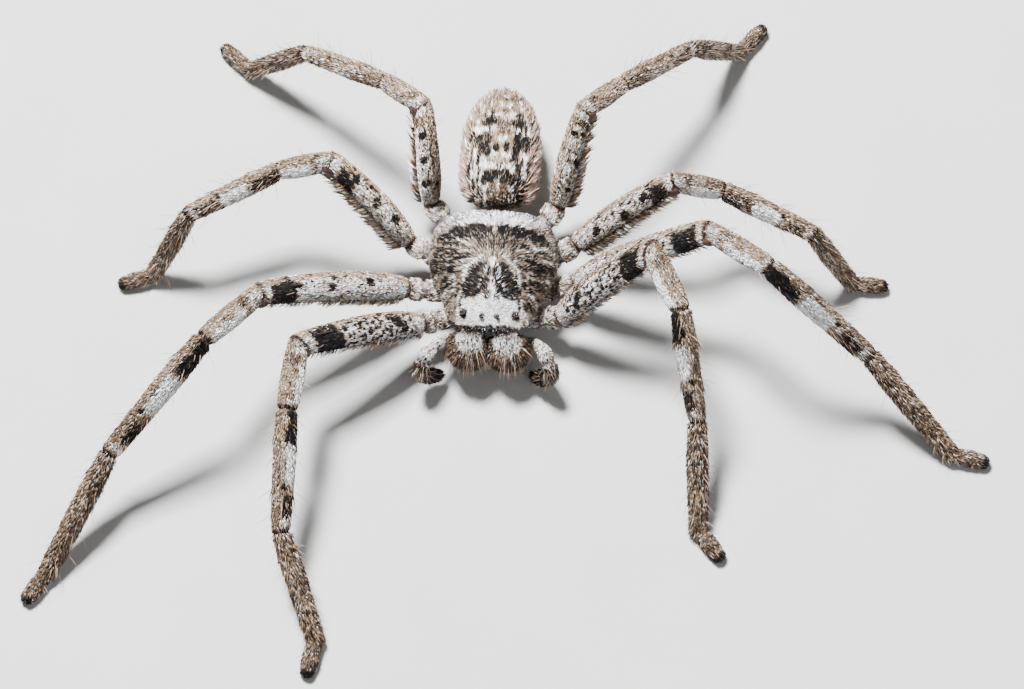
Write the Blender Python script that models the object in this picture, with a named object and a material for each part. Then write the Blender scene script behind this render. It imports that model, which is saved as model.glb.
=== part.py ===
"""Huntsman spider, life size, resting on eight spread legs.

Metres, +Z up. The origin is on the floor under the middle of the leg span, the head points to -Y and
the spider's left side is at +X. Everything is laid out about the middle of the head shield, which stands
at BODY_AT, and each sub-part is one closed mesh object placed there.
"""
import math

import bmesh
import bpy
import numpy as np
from mathutils import Matrix, Vector
from mathutils.bvhtree import BVHTree

# The middle of the head shield over the floor
BODY_AT = Vector((-0.0039, 0.0060, 0.0))

# The gap that neighbouring pieces keep, and the smaller one under an eye
GAP = 0.0003
EYE_GAP = 0.0002

# Head shield (carapace): half outline as (distance from the middle, half width), front to rear
SHIELD_OUTLINE = ((-0.0088, 0.0000), (-0.0087, 0.0022), (-0.0080, 0.0045), (-0.0062, 0.0055),
                  (-0.0036, 0.0063), (-0.0010, 0.0077), (0.0016, 0.0081), (0.0050, 0.0077),
                  (0.0070, 0.0062), (0.0082, 0.0041), (0.0085, 0.0000))
# Height of its crown along the middle, front to rear
SHIELD_CROWN = ((-0.0088, 0.0091), (-0.0072, 0.0100), (-0.0050, 0.0108), (-0.0010, 0.0113),
                (0.0020, 0.0112), (0.0050, 0.0103), (0.0072, 0.0086), (0.0085, 0.0070))
SHIELD_RIM_Z = 0.0072
SHIELD_UNDER_Z = 0.0066
SHIELD_FRONT_RIM_Z = 0.0089
SHIELD_FRONT_UNDER_Z = 0.0081
SHIELD_FRONT_FROM = -0.0072
SHIELD_FRONT_TO = -0.0058
SHIELD_SIDES = 40
SHIELD_RINGS = 7

# Breast plate (sternum)
PLATE_HALF_WIDTH = 0.0039
PLATE_HALF_LENGTH = 0.0068
PLATE_FRONT = -0.0060
PLATE_REAR = 0.0052
PLATE_LOW = 0.0030
PLATE_HIGH = 0.0054
PLATE_SIDES = 28

# Abdomen with its stalk: (distance from the middle, half width, half height, middle height)
ABDOMEN_ROWS = ((0.0056, 0.0006, 0.0006, 0.0047), (0.0086, 0.0008, 0.0008, 0.0047),
                (0.0095, 0.0013, 0.0011, 0.0053), (0.0100, 0.0029, 0.0022, 0.0061),
                (0.0110, 0.0039, 0.0031, 0.0065), (0.0128, 0.0044, 0.0036, 0.0067),
                (0.0156, 0.0046, 0.0038, 0.0067), (0.0186, 0.0045, 0.0036, 0.0065),
                (0.0212, 0.0040, 0.0033, 0.0062), (0.0232, 0.0032, 0.0027, 0.0060),
                (0.0247, 0.0021, 0.0019, 0.0057), (0.0255, 0.0009, 0.0009, 0.0055))
ABDOMEN_SIDES = 24

# Locks of the abdomen's coat: bands along it, most to a band, length, and how far they stand off
ABDOMEN_LOCK_BANDS = (0.0116, 0.0142, 0.0168, 0.0193, 0.0216, 0.0236)
ABDOMEN_LOCKS_ROUND = 9
ABDOMEN_LOCK_LONG = 0.0028
ABDOMEN_LOCK_WIDE = 0.0022
ABDOMEN_LOCK_LIFT = 20.0
ABDOMEN_LOCKS_FROM = -48.0
ABDOMEN_LOCKS_TO = 228.0

# Spinnerets: a short foot with two pairs of tapered tubes
SPINNERET_AT = (0.0, 0.0236, 0.0037)
SPINNERET_BASE_R = 0.0011
SPINNERET_BASE_LONG = 0.0005
SPINNERET_SPREAD = 0.0006
SPINNERET_LONG = 0.0013
SPINNERET_R = 0.00042
SPINNERET_TIP_R = 0.00025
SPINNERET_SIDES = 8

# Jaws (chelicerae), on the left: (height, middle x, middle y, half width, reach forward, reach back)
JAW_ROWS = ((0.0077, 0.00235, -0.0092, 0.0017, 0.0012, 0.0008), (0.0073, 0.00250, -0.0092, 0.0022, 0.0019, 0.0013),
            (0.0064, 0.00265, -0.0093, 0.00245, 0.0025, 0.0016), (0.0052, 0.00268, -0.0094, 0.00248, 0.0026, 0.0016),
            (0.0040, 0.00262, -0.0094, 0.00236, 0.0023, 0.0015), (0.0029, 0.00250, -0.0094, 0.0020, 0.0017, 0.0013),
            (0.0023, 0.00240, -0.0094, 0.0014, 0.0011, 0.0009))
JAW_SIDES = 18
# Locks of bristles on each jaw: heights of the bands, most to a band, length
JAW_LOCK_BANDS = (0.0058, 0.0044, 0.0031)
JAW_LOCKS_ROUND = 5
JAW_LOCK_LONG = 0.0021
JAW_LOCK_LIFT = 28.0
JAW_LOCKS_FROM = -124.0
JAW_LOCKS_TO = -22.0

# Fangs, on the left: (x, y, z, radius), folded in under the jaws
FANG_ROWS = ((0.0030, -0.0096, 0.0019, 0.00042), (0.0026, -0.0098, 0.0014, 0.00048),
             (0.0019, -0.0097, 0.0011, 0.00040), (0.0012, -0.0094, 0.0011, 0.00028),
             (0.0007, -0.0090, 0.0013, 0.00012))
FANG_SIDES = 8

# Palps: (x, y, z, radius) from the mouth over the knee to the tip
PALP_LEFT = ((0.0019, -0.0066, 0.0038, 0.00055), (0.0043, -0.0073, 0.0041, 0.00048),
             (0.0055, -0.0080, 0.0049, 0.00055), (0.0060, -0.0087, 0.0056, 0.00080),
             (0.0068, -0.0099, 0.0063, 0.00115), (0.0072, -0.0108, 0.0065, 0.00125),
             (0.0077, -0.0117, 0.0061, 0.00120), (0.0079, -0.0122, 0.0053, 0.00100),
             (0.0078, -0.0122, 0.0046, 0.00105), (0.0076, -0.0121, 0.0038, 0.00105),
             (0.0071, -0.0119, 0.0030, 0.00105), (0.0064, -0.0116, 0.0024, 0.00085),
             (0.0058, -0.0113, 0.0021, 0.00040))
PALP_RIGHT = ((-0.0019, -0.0066, 0.0038, 0.00055), (-0.0043, -0.0073, 0.0041, 0.00048),
              (-0.0055, -0.0080, 0.0049, 0.00055), (-0.0061, -0.0090, 0.0056, 0.00080),
              (-0.0071, -0.0106, 0.0064, 0.00115), (-0.0075, -0.0115, 0.0066, 0.00125),
              (-0.0079, -0.0124, 0.0062, 0.00120), (-0.0081, -0.0129, 0.0054, 0.00100),
              (-0.0080, -0.0129, 0.0047, 0.00105), (-0.0077, -0.0127, 0.0039, 0.00105),
              (-0.0072, -0.0125, 0.0031, 0.00105), (-0.0065, -0.0122, 0.0025, 0.00085),
              (-0.0059, -0.0119, 0.0022, 0.00040))
PALP_KNEE = 7
# Locks of the brush on the last part of each palp: rows that carry them, most to a row, length
PALP_LOCK_ROWS = (9, 10)
PALP_LOCKS_ROUND = 4
PALP_LOCK_LONG = 0.0015
PALP_LOCK_LIFT = 30.0
PALP_LOCKS_FROM = -10.0
PALP_LOCKS_TO = 200.0
PALP_SIDES = 10

# Eyes in two rows, on the left: name, place over the head shield, direction to look for it, radius
EYES = (("front_mid", (0.00075, -0.0090, 0.00850), (0.0, 1.0, 0.0), 0.00030),
        ("front_side", (0.0023, -0.0090, 0.00850), (0.0, 1.0, 0.0), 0.00036),
        ("rear_mid", (0.0010, -0.0071, 0.0130), (0.0, 0.0, -1.0), 0.00026),
        ("rear_side", (0.0033, -0.0068, 0.0130), (0.0, 0.0, -1.0), 0.00033))
EYE_SIDES = 9
EYE_BANDS = 5

# Legs: lengths of coxa with trochanter, femur, patella, tibia, metatarsus and tarsus, first pair to fourth
LEG_LENGTHS = {1: (0.0054, 0.0182, 0.0086, 0.0148, 0.0137, 0.0047),
               2: (0.0064, 0.0214, 0.0098, 0.0185, 0.0166, 0.0045),
               3: (0.0073, 0.0164, 0.0075, 0.0123, 0.0119, 0.0043),
               4: (0.0078, 0.0150, 0.0066, 0.0135, 0.0129, 0.0050)}
# Half widths of the same segments, coat included
LEG_HALF_WIDTHS = {1: (0.00140, 0.00195, 0.00158, 0.00142, 0.00122, 0.00105),
                   2: (0.00140, 0.00200, 0.00155, 0.00148, 0.00125, 0.00105),
                   3: (0.00138, 0.00172, 0.00148, 0.00132, 0.00112, 0.00100),
                   4: (0.00138, 0.00162, 0.00142, 0.00126, 0.00110, 0.00100)}
# Where each leg leaves the breast plate, on the left, and how high
LEG_ROOTS = {1: (0.0033, -0.0046), 2: (0.0041, -0.0017), 3: (0.0041, 0.0012), 4: (0.0033, 0.0041)}
LEG_ROOT_Z = 0.0043
# Heights of the middle of the ankle and of the toe, which stand on the floor
ANKLE_Z = 0.00115
TOE_Z = 0.00082
# The pose: bearing of each of the six segments, and rise of the first four, in degrees
LEG_POSE = {("right", 1): ((-158.5, -152.5, -94.5, -90.0, -67.0, -99.5), (11.5, 26.0, 1.5, -25.5)),
            ("right", 2): ((-178.5, -159.0, -128.0, -133.5, -118.5, -122.0), (8.0, 29.5, 14.5, -30.0)),
            ("right", 3): ((153.0, 155.5, 178.0, -154.0, -142.0, -161.0), (7.5, 49.5, -29.5, -12.5)),
            ("right", 4): ((129.5, 101.0, 141.5, 148.5, 162.0, 139.0), (7.0, 63.0, -15.5, -24.5)),
            ("left", 1): ((-1.5, 14.0, -64.5, -73.5, -85.5, -50.5), (10.0, 52.0, 4.0, -48.0)),
            ("left", 2): ((15.5, 4.5, -39.0, -22.5, -38.0, -9.5), (8.5, 41.0, 18.0, -41.0)),
            ("left", 3): ((35.0, 18.5, 11.5, -23.5, -15.5, 0.0), (7.5, 42.5, -32.5, -3.5)),
            ("left", 4): ((57.0, 68.5, 45.0, 46.0, 40.5, 52.5), (7.0, 61.5, -10.5, -26.5))}
LEG_SIDES = 9
# Section along each segment: (share of the length, share of the half width)
COXA_ROWS = ((0.0, 0.80), (0.10, 0.93), (0.45, 1.08), (0.66, 0.98), (0.72, 1.06), (0.88, 1.12), (1.0, 0.92))
FEMUR_ROWS = ((0.0, 0.66), (0.06, 0.82), (0.22, 1.00), (0.45, 1.03), (0.70, 0.96), (0.90, 0.86), (0.97, 0.82),
              (1.0, 0.68))
PATELLA_ROWS = ((0.0, 0.78), (0.08, 0.92), (0.50, 1.04), (0.90, 0.94), (1.0, 0.78))
TIBIA_ROWS = ((0.0, 0.80), (0.06, 0.94), (0.30, 1.06), (0.60, 1.00), (0.92, 0.90), (1.0, 0.74))
METATARSUS_ROWS = ((0.0, 0.76), (0.06, 0.92), (0.35, 1.06), (0.75, 0.98), (1.0, 0.90))
TARSUS_ROWS = ((0.15, 1.02), (0.55, 1.08), (0.84, 0.96), (0.95, 0.72), (1.0, 0.36))
# A coxa is wider than tall; a femur is a little taller than wide, and arches up
COXA_TALL = 0.84
FEMUR_TALL = 1.06
FEMUR_ARCH = 0.05
# Spines of each segment: (share of its length, angle round it from its side), and their common size
FEMUR_SPINES = ((0.28, 95.0), (0.52, 82.0), (0.76, 98.0))
TIBIA_SPINES = ((0.18, 10.0), (0.24, 170.0), (0.40, 95.0), (0.60, 5.0), (0.66, 175.0), (0.84, -50.0))
METATARSUS_SPINES = ((0.10, 15.0), (0.14, 165.0), (0.50, 5.0), (0.56, 175.0))
SPINE_LONG = 0.0028
SPINE_R = 0.00026
SPINE_TIP_R = 0.00007
SPINE_SIDES = 5
SPINE_LIFT = 38.0

# A lock of hair: width, thickness, how deep its root is sunk, and how much lengths vary
BRISTLE_LOCK_WIDE = 0.0012
LOCK_THICK = 0.0005
ROOT_SUNK = 0.0005
LENGTH_SPREAD = 0.18
SEED = 11

# The floor on which the feet stand
FLOOR_Z = 0.0

# Colours of the coat, the horny pieces and the eyes
COAT_PALE = (0.52, 0.46, 0.39)
COAT_TAN = (0.38, 0.30, 0.22)
COAT_DARK = (0.17, 0.13, 0.10)
BARE_BROWN = (0.30, 0.16, 0.10)
FANG_BLACK = (0.03, 0.015, 0.01)
EYE_BLACK = (0.015, 0.012, 0.012)
COAT_ROUGHNESS = 0.85
HORN_ROUGHNESS = 0.25


def material(name, colour, roughness):
    """A Principled material in one colour."""
    made = bpy.data.materials.new(name)
    made.use_nodes = True
    shader = made.node_tree.nodes["Principled BSDF"]
    shader.inputs["Base Color"].default_value = (*colour, 1.0)
    shader.inputs["Roughness"].default_value = roughness
    return made


def add_object(name, bm, colour, roughness=COAT_ROUGHNESS):
    """Turn a bmesh about the head shield's middle into a named object standing at BODY_AT."""
    mesh = bpy.data.meshes.new(name)
    bm.to_mesh(mesh)
    bm.free()
    mesh.shade_smooth()
    mesh.set_sharp_from_angle(angle=math.radians(40.0))
    obj = bpy.data.objects.new(name, mesh)
    obj.location = BODY_AT
    obj.data.materials.append(material(name, colour, roughness))
    bpy.context.scene.collection.objects.link(obj)
    return obj


def face_out(bm):
    """The same bmesh with its faces turned to point out of it."""
    if bm.calc_volume(signed=True) < 0.0:
        bmesh.ops.reverse_faces(bm, faces=bm.faces)
    bm.normal_update()
    return bm


def loft(rings):
    """A closed bmesh over a stack of rings with as many points each, its two ends closed by fans."""
    bm = bmesh.new()
    rows = [[bm.verts.new(point) for point in ring] for ring in rings]
    for low, high in zip(rows, rows[1:]):
        for k in range(len(low)):
            j = (k + 1) % len(low)
            bm.faces.new((low[k], low[j], high[j], high[k]))
    ends = [bm.faces.new(rows[0][::-1]), bm.faces.new(rows[-1])]
    bmesh.ops.poke(bm, faces=ends)
    return face_out(bm)


def angles(count):
    """Angles round a ring, as many as it has sides."""
    return np.arange(count) * (2.0 * math.pi / count)


def smooth_step(value, low, high):
    """0 at low and 1 at high, with a soft start and end."""
    t = np.clip((value - low) / (high - low), 0.0, 1.0)
    return t * t * (3.0 - 2.0 * t)


def spline(points, samples):
    """Points on a smooth curve through the given ones, evenly along the run of the points."""
    points = np.asarray(points, float)
    ends = np.concatenate([2 * points[:1] - points[1:2], points, 2 * points[-1:] - points[-2:-1]])
    at = np.linspace(0.0, len(points) - 1.0, samples)
    k = np.minimum(at.astype(int), len(points) - 2)
    t = (at - k)[:, None]
    p0, p1, p2, p3 = ends[k], ends[k + 1], ends[k + 2], ends[k + 3]
    return 0.5 * (2 * p1 + (p2 - p0) * t + (2 * p0 - 5 * p1 + 4 * p2 - p3) * t ** 2
                  + (3 * p1 - p0 - 3 * p2 + p3) * t ** 3)


def unit(vector):
    return vector / np.linalg.norm(vector)


def shield_outline():
    """The head shield's rim as points (x, y), round from the front."""
    half = spline([(w, y) for y, w in SHIELD_OUTLINE], SHIELD_SIDES // 2 + 1)
    mirrored = half[-2:0:-1] * (-1.0, 1.0)
    return np.concatenate([half, mirrored])


def shield_crown(y):
    """Height of the head shield along its middle."""
    ys, zs = zip(*SHIELD_CROWN)
    return np.interp(y, ys, zs)


def make_shield():
    """The head shield: a domed cap, steep at the front, over a nearly flat underside."""
    rim = shield_outline()
    centre = np.array((0.0, 0.5 * (SHIELD_OUTLINE[0][0] + SHIELD_OUTLINE[-1][0])))
    front = 1.0 - smooth_step(rim[:, 1], SHIELD_FRONT_FROM, SHIELD_FRONT_TO)
    rim_z = SHIELD_RIM_Z + (SHIELD_FRONT_RIM_Z - SHIELD_RIM_Z) * front
    under_z = SHIELD_UNDER_Z + (SHIELD_FRONT_UNDER_Z - SHIELD_UNDER_Z) * front
    rings = [np.column_stack([centre + (rim - centre) * share, under_z]) for share in (0.45, 0.93)]
    for step in range(SHIELD_RINGS + 1):
        slope = step / SHIELD_RINGS * 0.5 * math.pi
        share = math.cos(slope * 0.97)
        flat = centre + (rim - centre) * share
        crown = shield_crown(flat[:, 1])
        height = rim_z + (crown - rim_z) * math.sin(slope) ** 0.85
        rings.append(np.column_stack([flat, height]))
    return loft(rings)


def make_plate():
    """The breast plate: a low oval slab cut straight at the front and the rear."""
    turn = angles(PLATE_SIDES)
    x = PLATE_HALF_WIDTH * np.cos(turn)
    y = np.clip(PLATE_HALF_LENGTH * np.sin(turn), PLATE_FRONT, PLATE_REAR)
    middle = 0.5 * (PLATE_LOW + PLATE_HIGH)
    rows = ((0.55, PLATE_LOW), (0.93, PLATE_LOW + GAP), (1.0, middle), (0.96, PLATE_HIGH - GAP), (0.6, PLATE_HIGH))
    return loft([np.column_stack([x * share, y * share, np.full(PLATE_SIDES, z)]) for share, z in rows])


def make_abdomen():
    """The abdomen, an egg that narrows to the rear, on the thin stalk that joins it to the body."""
    turn = angles(ABDOMEN_SIDES)
    rings = []
    for y, half_width, half_height, z in ABDOMEN_ROWS:
        x = half_width * np.cos(turn)
        rings.append(np.column_stack([x, np.full(ABDOMEN_SIDES, y), z + half_height * np.sin(turn)]))
    return loft(rings)


def make_jaw(side):
    """One jaw: a stout bulging column under the front of the head shield."""
    turn = angles(JAW_SIDES)
    rings = []
    for z, x, y, half_width, forward, back in JAW_ROWS:
        reach = np.where(np.sin(turn) < 0.0, forward, back)
        rings.append(np.column_stack([side * (x + half_width * np.cos(turn)), y + reach * np.sin(turn),
                                      np.full(JAW_SIDES, z)]))
    return loft(rings)


def tube_rings(rows, sides):
    """Round rings along points given as (x, y, z, radius), turned as little as possible on the way."""
    rows = np.asarray(rows, float)
    turn = angles(sides)
    across = np.array((0.0, 0.0, 1.0))
    rings = []
    for row, along in zip(rows, np.gradient(rows[:, :3], axis=0)):
        along = unit(along)
        across = unit(across - along * (across @ along))
        other = np.cross(along, across)
        rings.append(row[:3] + row[3] * (np.cos(turn)[:, None] * across + np.sin(turn)[:, None] * other))
    return rings


def make_palp(side, rows, draw):
    """The two pieces of one palp, parted at the knee by a thin gap, the last with its brush of locks."""
    rings = tube_rings(rows, PALP_SIDES)
    after = unit(rings[PALP_KNEE + 1].mean(axis=0) - rings[PALP_KNEE - 1].mean(axis=0))
    upper = rings[:PALP_KNEE] + [rings[PALP_KNEE] - 0.5 * GAP * after]
    lower = loft([rings[PALP_KNEE] + 0.5 * GAP * after] + rings[PALP_KNEE + 1:])
    surface = BVHTree.FromBMesh(lower)
    add_object(f"palp_{side}_upper", loft(upper), COAT_PALE)
    obj = add_object(f"palp_{side}_lower", lower, COAT_DARK)
    add_locks(obj, palp_lock_roots(surface, rows), PALP_LOCK_LIFT, PALP_LOCK_LONG,
              BRISTLE_LOCK_WIDE, draw)


def lock_mesh(root, lie, normal, length, wide):
    """A flat tapered lock from its sunk root to its tip, curving towards the skin on the way."""
    side = np.cross(lie, normal)
    rings = []
    for share, width, lift in ((-ROOT_SUNK / length, 0.9, 0.0), (0.35, 1.0, 0.10), (0.72, 0.62, 0.08), (1.0, 0.14, 0.0)):
        middle = root + lie * length * share + normal * length * lift
        half = 0.5 * wide * width * side
        thick = 0.5 * LOCK_THICK * min(1.0, 1.5 * width) * normal
        rings.append([middle + half, middle + thick, middle - half, middle - thick])
    return loft(rings)


def spine_mesh(root, direction):
    """A round tapered spine with its root sunk."""
    bm = bmesh.new()
    bmesh.ops.create_cone(bm, cap_ends=True, segments=SPINE_SIDES, radius1=SPINE_R, radius2=SPINE_TIP_R,
                          depth=SPINE_LONG + ROOT_SUNK)
    turn = Vector((0, 0, 1)).rotation_difference(Vector(direction)).to_matrix().to_4x4()
    middle = Vector(root + direction * 0.5 * (SPINE_LONG - ROOT_SUNK))
    bm.transform(Matrix.Translation(middle) @ turn)
    return face_out(bm)


def lean(normal, lie, lift):
    """The direction that stands off the surface by the given angle and runs along the lie."""
    flat = unit(lie - normal * (lie @ normal))
    rise = math.radians(lift)
    return flat * math.cos(rise) + normal * math.sin(rise)


def fuse(obj, pieces):
    """Join closed pieces to an object by one union, and keep the largest closed surface."""
    group = bpy.data.collections.new(obj.name + "_forms")
    bpy.context.scene.collection.children.link(group)
    for bm in pieces:
        mesh = bpy.data.meshes.new("form")
        bm.to_mesh(mesh)
        bm.free()
        form = bpy.data.objects.new("form", mesh)
        form.location = obj.location
        group.objects.link(form)
    union = obj.modifiers.new("forms", "BOOLEAN")
    union.operation = "UNION"
    union.solver = "EXACT"
    union.operand_type = "COLLECTION"
    union.collection = group
    bpy.context.view_layer.update()
    whole = bpy.data.meshes.new_from_object(obj.evaluated_get(bpy.context.evaluated_depsgraph_get()))
    obj.modifiers.clear()
    keep_largest(whole)
    obj.data = whole
    for form in list(group.objects):
        bpy.data.objects.remove(form, do_unlink=True)
    bpy.data.collections.remove(group)


def keep_largest(mesh):
    """Drop every closed surface of a mesh but the one with the most faces."""
    bm = bmesh.new()
    bm.from_mesh(mesh)
    bmesh.ops.triangulate(bm, faces=bm.faces)
    left = set(bm.verts)
    shells = []
    while left:
        shell = {left.pop()}
        edge_of = list(shell)
        while edge_of:
            vert = edge_of.pop()
            near = {edge.other_vert(vert) for edge in vert.link_edges} - shell
            shell |= near
            edge_of.extend(near)
        left -= shell
        shells.append(shell)
    shells.sort(key=len)
    for shell in shells[:-1]:
        bmesh.ops.delete(bm, geom=list(shell), context="VERTS")
    bm.to_mesh(mesh)
    bm.free()


def place_on(surface, point, direction):
    """Where a ray from a point meets a surface, and the surface's normal there."""
    hit, normal, _, _ = surface.ray_cast(Vector(point), Vector(direction))
    return hit, normal


def make_eye(surface, point, direction, radius):
    """One eye: a dome with a flat back, just clear of the surface it sits on."""
    hit, normal = place_on(surface, point, direction)
    bm = bmesh.new()
    bmesh.ops.create_uvsphere(bm, u_segments=EYE_SIDES, v_segments=EYE_BANDS, radius=radius)
    bmesh.ops.bisect_plane(bm, geom=bm.verts[:] + bm.edges[:] + bm.faces[:], plane_co=(0, 0, -0.3 * radius),
                           plane_no=(0, 0, -1), clear_outer=True)
    bmesh.ops.holes_fill(bm, edges=[edge for edge in bm.edges if edge.is_boundary])
    turn = Vector((0, 0, 1)).rotation_difference(normal).to_matrix().to_4x4()
    seat = hit + normal * (EYE_GAP + 0.3 * radius)
    bm.transform(Matrix.Translation(seat) @ turn)
    return face_out(bm)


def make_spinnerets(surface):
    """The spinnerets: two pairs of tapered tubes on one round foot under the tip of the abdomen."""
    x, y, z = SPINNERET_AT
    hit, normal = place_on(surface, (x, y + 0.004, z - 0.004), (0.0, -1.0, 1.0))
    turn = Vector((0, 0, 1)).rotation_difference(normal).to_matrix().to_4x4()
    seat = Matrix.Translation(hit + normal * GAP) @ turn
    foot = bmesh.new()
    bmesh.ops.create_cone(foot, cap_ends=True, segments=2 * SPINNERET_SIDES, radius1=SPINNERET_BASE_R,
                          radius2=SPINNERET_BASE_R, depth=SPINNERET_BASE_LONG)
    foot.transform(seat @ Matrix.Translation((0, 0, 0.5 * SPINNERET_BASE_LONG)))
    tubes = []
    for across in (-1, 1):
        for along in (-1, 1):
            tube = bmesh.new()
            bmesh.ops.create_cone(tube, cap_ends=True, segments=SPINNERET_SIDES, radius1=SPINNERET_R,
                                  radius2=SPINNERET_TIP_R, depth=SPINNERET_LONG)
            place = (across * SPINNERET_SPREAD, along * SPINNERET_SPREAD, 0.6 * SPINNERET_LONG)
            tube.transform(seat @ Matrix.Translation(place))
            tubes.append(tube)
    fuse(add_object("spinnerets", foot, COAT_TAN), tubes)


def add_locks(obj, roots, lift, length, wide, draw):
    """Grow locks on an object from roots given as (point, normal, lie)."""
    pieces = []
    for point, normal, lie in roots:
        point, normal = np.array(point), np.array(normal)
        direction = lean(normal, lie, lift * draw.uniform(0.8, 1.2))
        side = unit(np.cross(direction, normal))
        out = np.cross(side, direction)
        size = length * draw.uniform(1.0 - LENGTH_SPREAD, 1.0 + LENGTH_SPREAD)
        pieces.append(lock_mesh(point, direction, out, size, wide))
    fuse(obj, pieces)


def spread(first, last, k, count, band):
    """The angle of root k of a band, with every other band moved on by half a step."""
    return math.radians(first + (last - first) * (k + 0.25 + 0.5 * (band % 2)) / count)


def abdomen_lock_roots(surface, draw):
    """Roots in staggered bands round the sides, back and top of the abdomen, lying to the rear."""
    roots = []
    ys, widths, heights, mids = zip(*ABDOMEN_ROWS)
    for band, y in enumerate(ABDOMEN_LOCK_BANDS):
        share = np.interp(y, ys, widths) / max(widths)
        count = max(5, round(ABDOMEN_LOCKS_ROUND * share))
        for k in range(count):
            turn = spread(ABDOMEN_LOCKS_FROM, ABDOMEN_LOCKS_TO, k, count, band) + draw.uniform(-0.06, 0.06)
            out = (math.cos(turn), 0.0, math.sin(turn))
            hit, normal = place_on(surface, (0.0, y, np.interp(y, ys, mids)), out)
            lie = np.array((0.35 * out[0], 1.0, 0.2 * out[2]))
            roots.append((hit, normal, lie))
    return roots


def jaw_lock_roots(surface, side):
    """Roots on the front and outer side of a jaw, lying down and outwards."""
    roots = []
    heights, xs, ys = zip(*[row[:3] for row in JAW_ROWS[::-1]])
    for band, z in enumerate(JAW_LOCK_BANDS):
        for k in range(JAW_LOCKS_ROUND):
            turn = spread(JAW_LOCKS_FROM, JAW_LOCKS_TO, k, JAW_LOCKS_ROUND, band)
            out = np.array((side * math.cos(turn), math.sin(turn), 0.0))
            start = (side * np.interp(z, heights, xs), np.interp(z, heights, ys), z)
            hit, normal = place_on(surface, start, out)
            roots.append((hit, normal, np.array((0.25 * out[0], 0.25 * out[1], -1.0))))
    return roots


def palp_lock_roots(surface, rows):
    """Roots round the last part of a palp, lying towards its tip."""
    roots = []
    for row in PALP_LOCK_ROWS:
        middle = np.array(rows[row][:3])
        along = unit(np.array(rows[row + 1][:3]) - middle)
        side = unit(np.cross(along, (0.0, 0.0, 1.0)))
        up = np.cross(side, along)
        for k in range(PALP_LOCKS_ROUND):
            turn = spread(PALP_LOCKS_FROM, PALP_LOCKS_TO, k, PALP_LOCKS_ROUND, row)
            hit, normal = place_on(surface, middle, side * math.cos(turn) + up * math.sin(turn))
            roots.append((hit, normal, along))
    return roots


def add_spines(obj, surface, start, end, spots):
    """Set spines on a segment at shares of its length and angles round it, leaning to its end."""
    along = unit(end - start)
    side = unit(np.cross(along, (0.0, 0.0, 1.0)))
    up = np.cross(side, along)
    pieces = []
    for share, angle in spots:
        turn = math.radians(angle)
        hit, normal = place_on(surface, start + (end - start) * share, side * math.cos(turn) + up * math.sin(turn))
        pieces.append(spine_mesh(np.array(hit), lean(np.array(normal), along, SPINE_LIFT)))
    fuse(obj, pieces)


def leg_joints(side, pair):
    """The seven points of a leg: root, femur, knee, tibia, metatarsus, ankle and toe."""
    sign = 1.0 if side == "left" else -1.0
    bearings, rises = LEG_POSE[side, pair]
    lengths = LEG_LENGTHS[pair]
    x, y = LEG_ROOTS[pair]
    points = [np.array((sign * x, y, LEG_ROOT_Z))]
    for k, (bearing, length) in enumerate(zip(bearings, lengths)):
        if k < len(rises):
            rise = math.radians(rises[k])
        else:
            rise = math.asin(((ANKLE_Z, TOE_Z)[k - len(rises)] - points[-1][2]) / length)
        turn = math.radians(bearing)
        step = np.array((math.cos(turn) * math.cos(rise), math.sin(turn) * math.cos(rise), math.sin(rise)))
        points.append(points[-1] + length * step)
    return points


def mitre(points, k):
    """The normal of the plane at joint k: the plate's own at the root, else midway between two segments."""
    if k == 0:
        x, y, _ = points[0]
        return unit(np.array((x / PLATE_HALF_WIDTH ** 2, y / PLATE_HALF_LENGTH ** 2, 0.0)))
    before = unit(points[k] - points[k - 1])
    if k + 1 == len(points):
        return before
    return unit(before + unit(points[k + 1] - points[k]))


def segment_rings(points, k, rows, half_width, tall=1.0, arch=0.0, gaps=(0.5 * GAP, 0.5 * GAP)):
    """Rings from joint k to the next, skewed bit by bit from the plane of one joint to that of the other."""
    start, end = points[k], points[k + 1]
    along = unit(end - start)
    side = unit(np.cross(along, (0.0, 0.0, 1.0)))
    up = np.cross(side, along)
    length = np.linalg.norm(end - start)
    turn = angles(LEG_SIDES) + math.pi / LEG_SIDES - 0.5 * math.pi
    first, last = mitre(points, k), mitre(points, k + 1)
    rings = []
    for share, width in rows:
        out = half_width * width * (np.cos(turn)[:, None] * side + tall * np.sin(turn)[:, None] * up)
        near = (gaps[0] - out @ first) / (along @ first)
        far = length + (-gaps[1] - out @ last) / (along @ last)
        reach = near + (far - near) * share
        bow = arch * length * 4.0 * share * (1.0 - share)
        rings.append(start + out + reach[:, None] * along + bow * up)
    return rings


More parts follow.
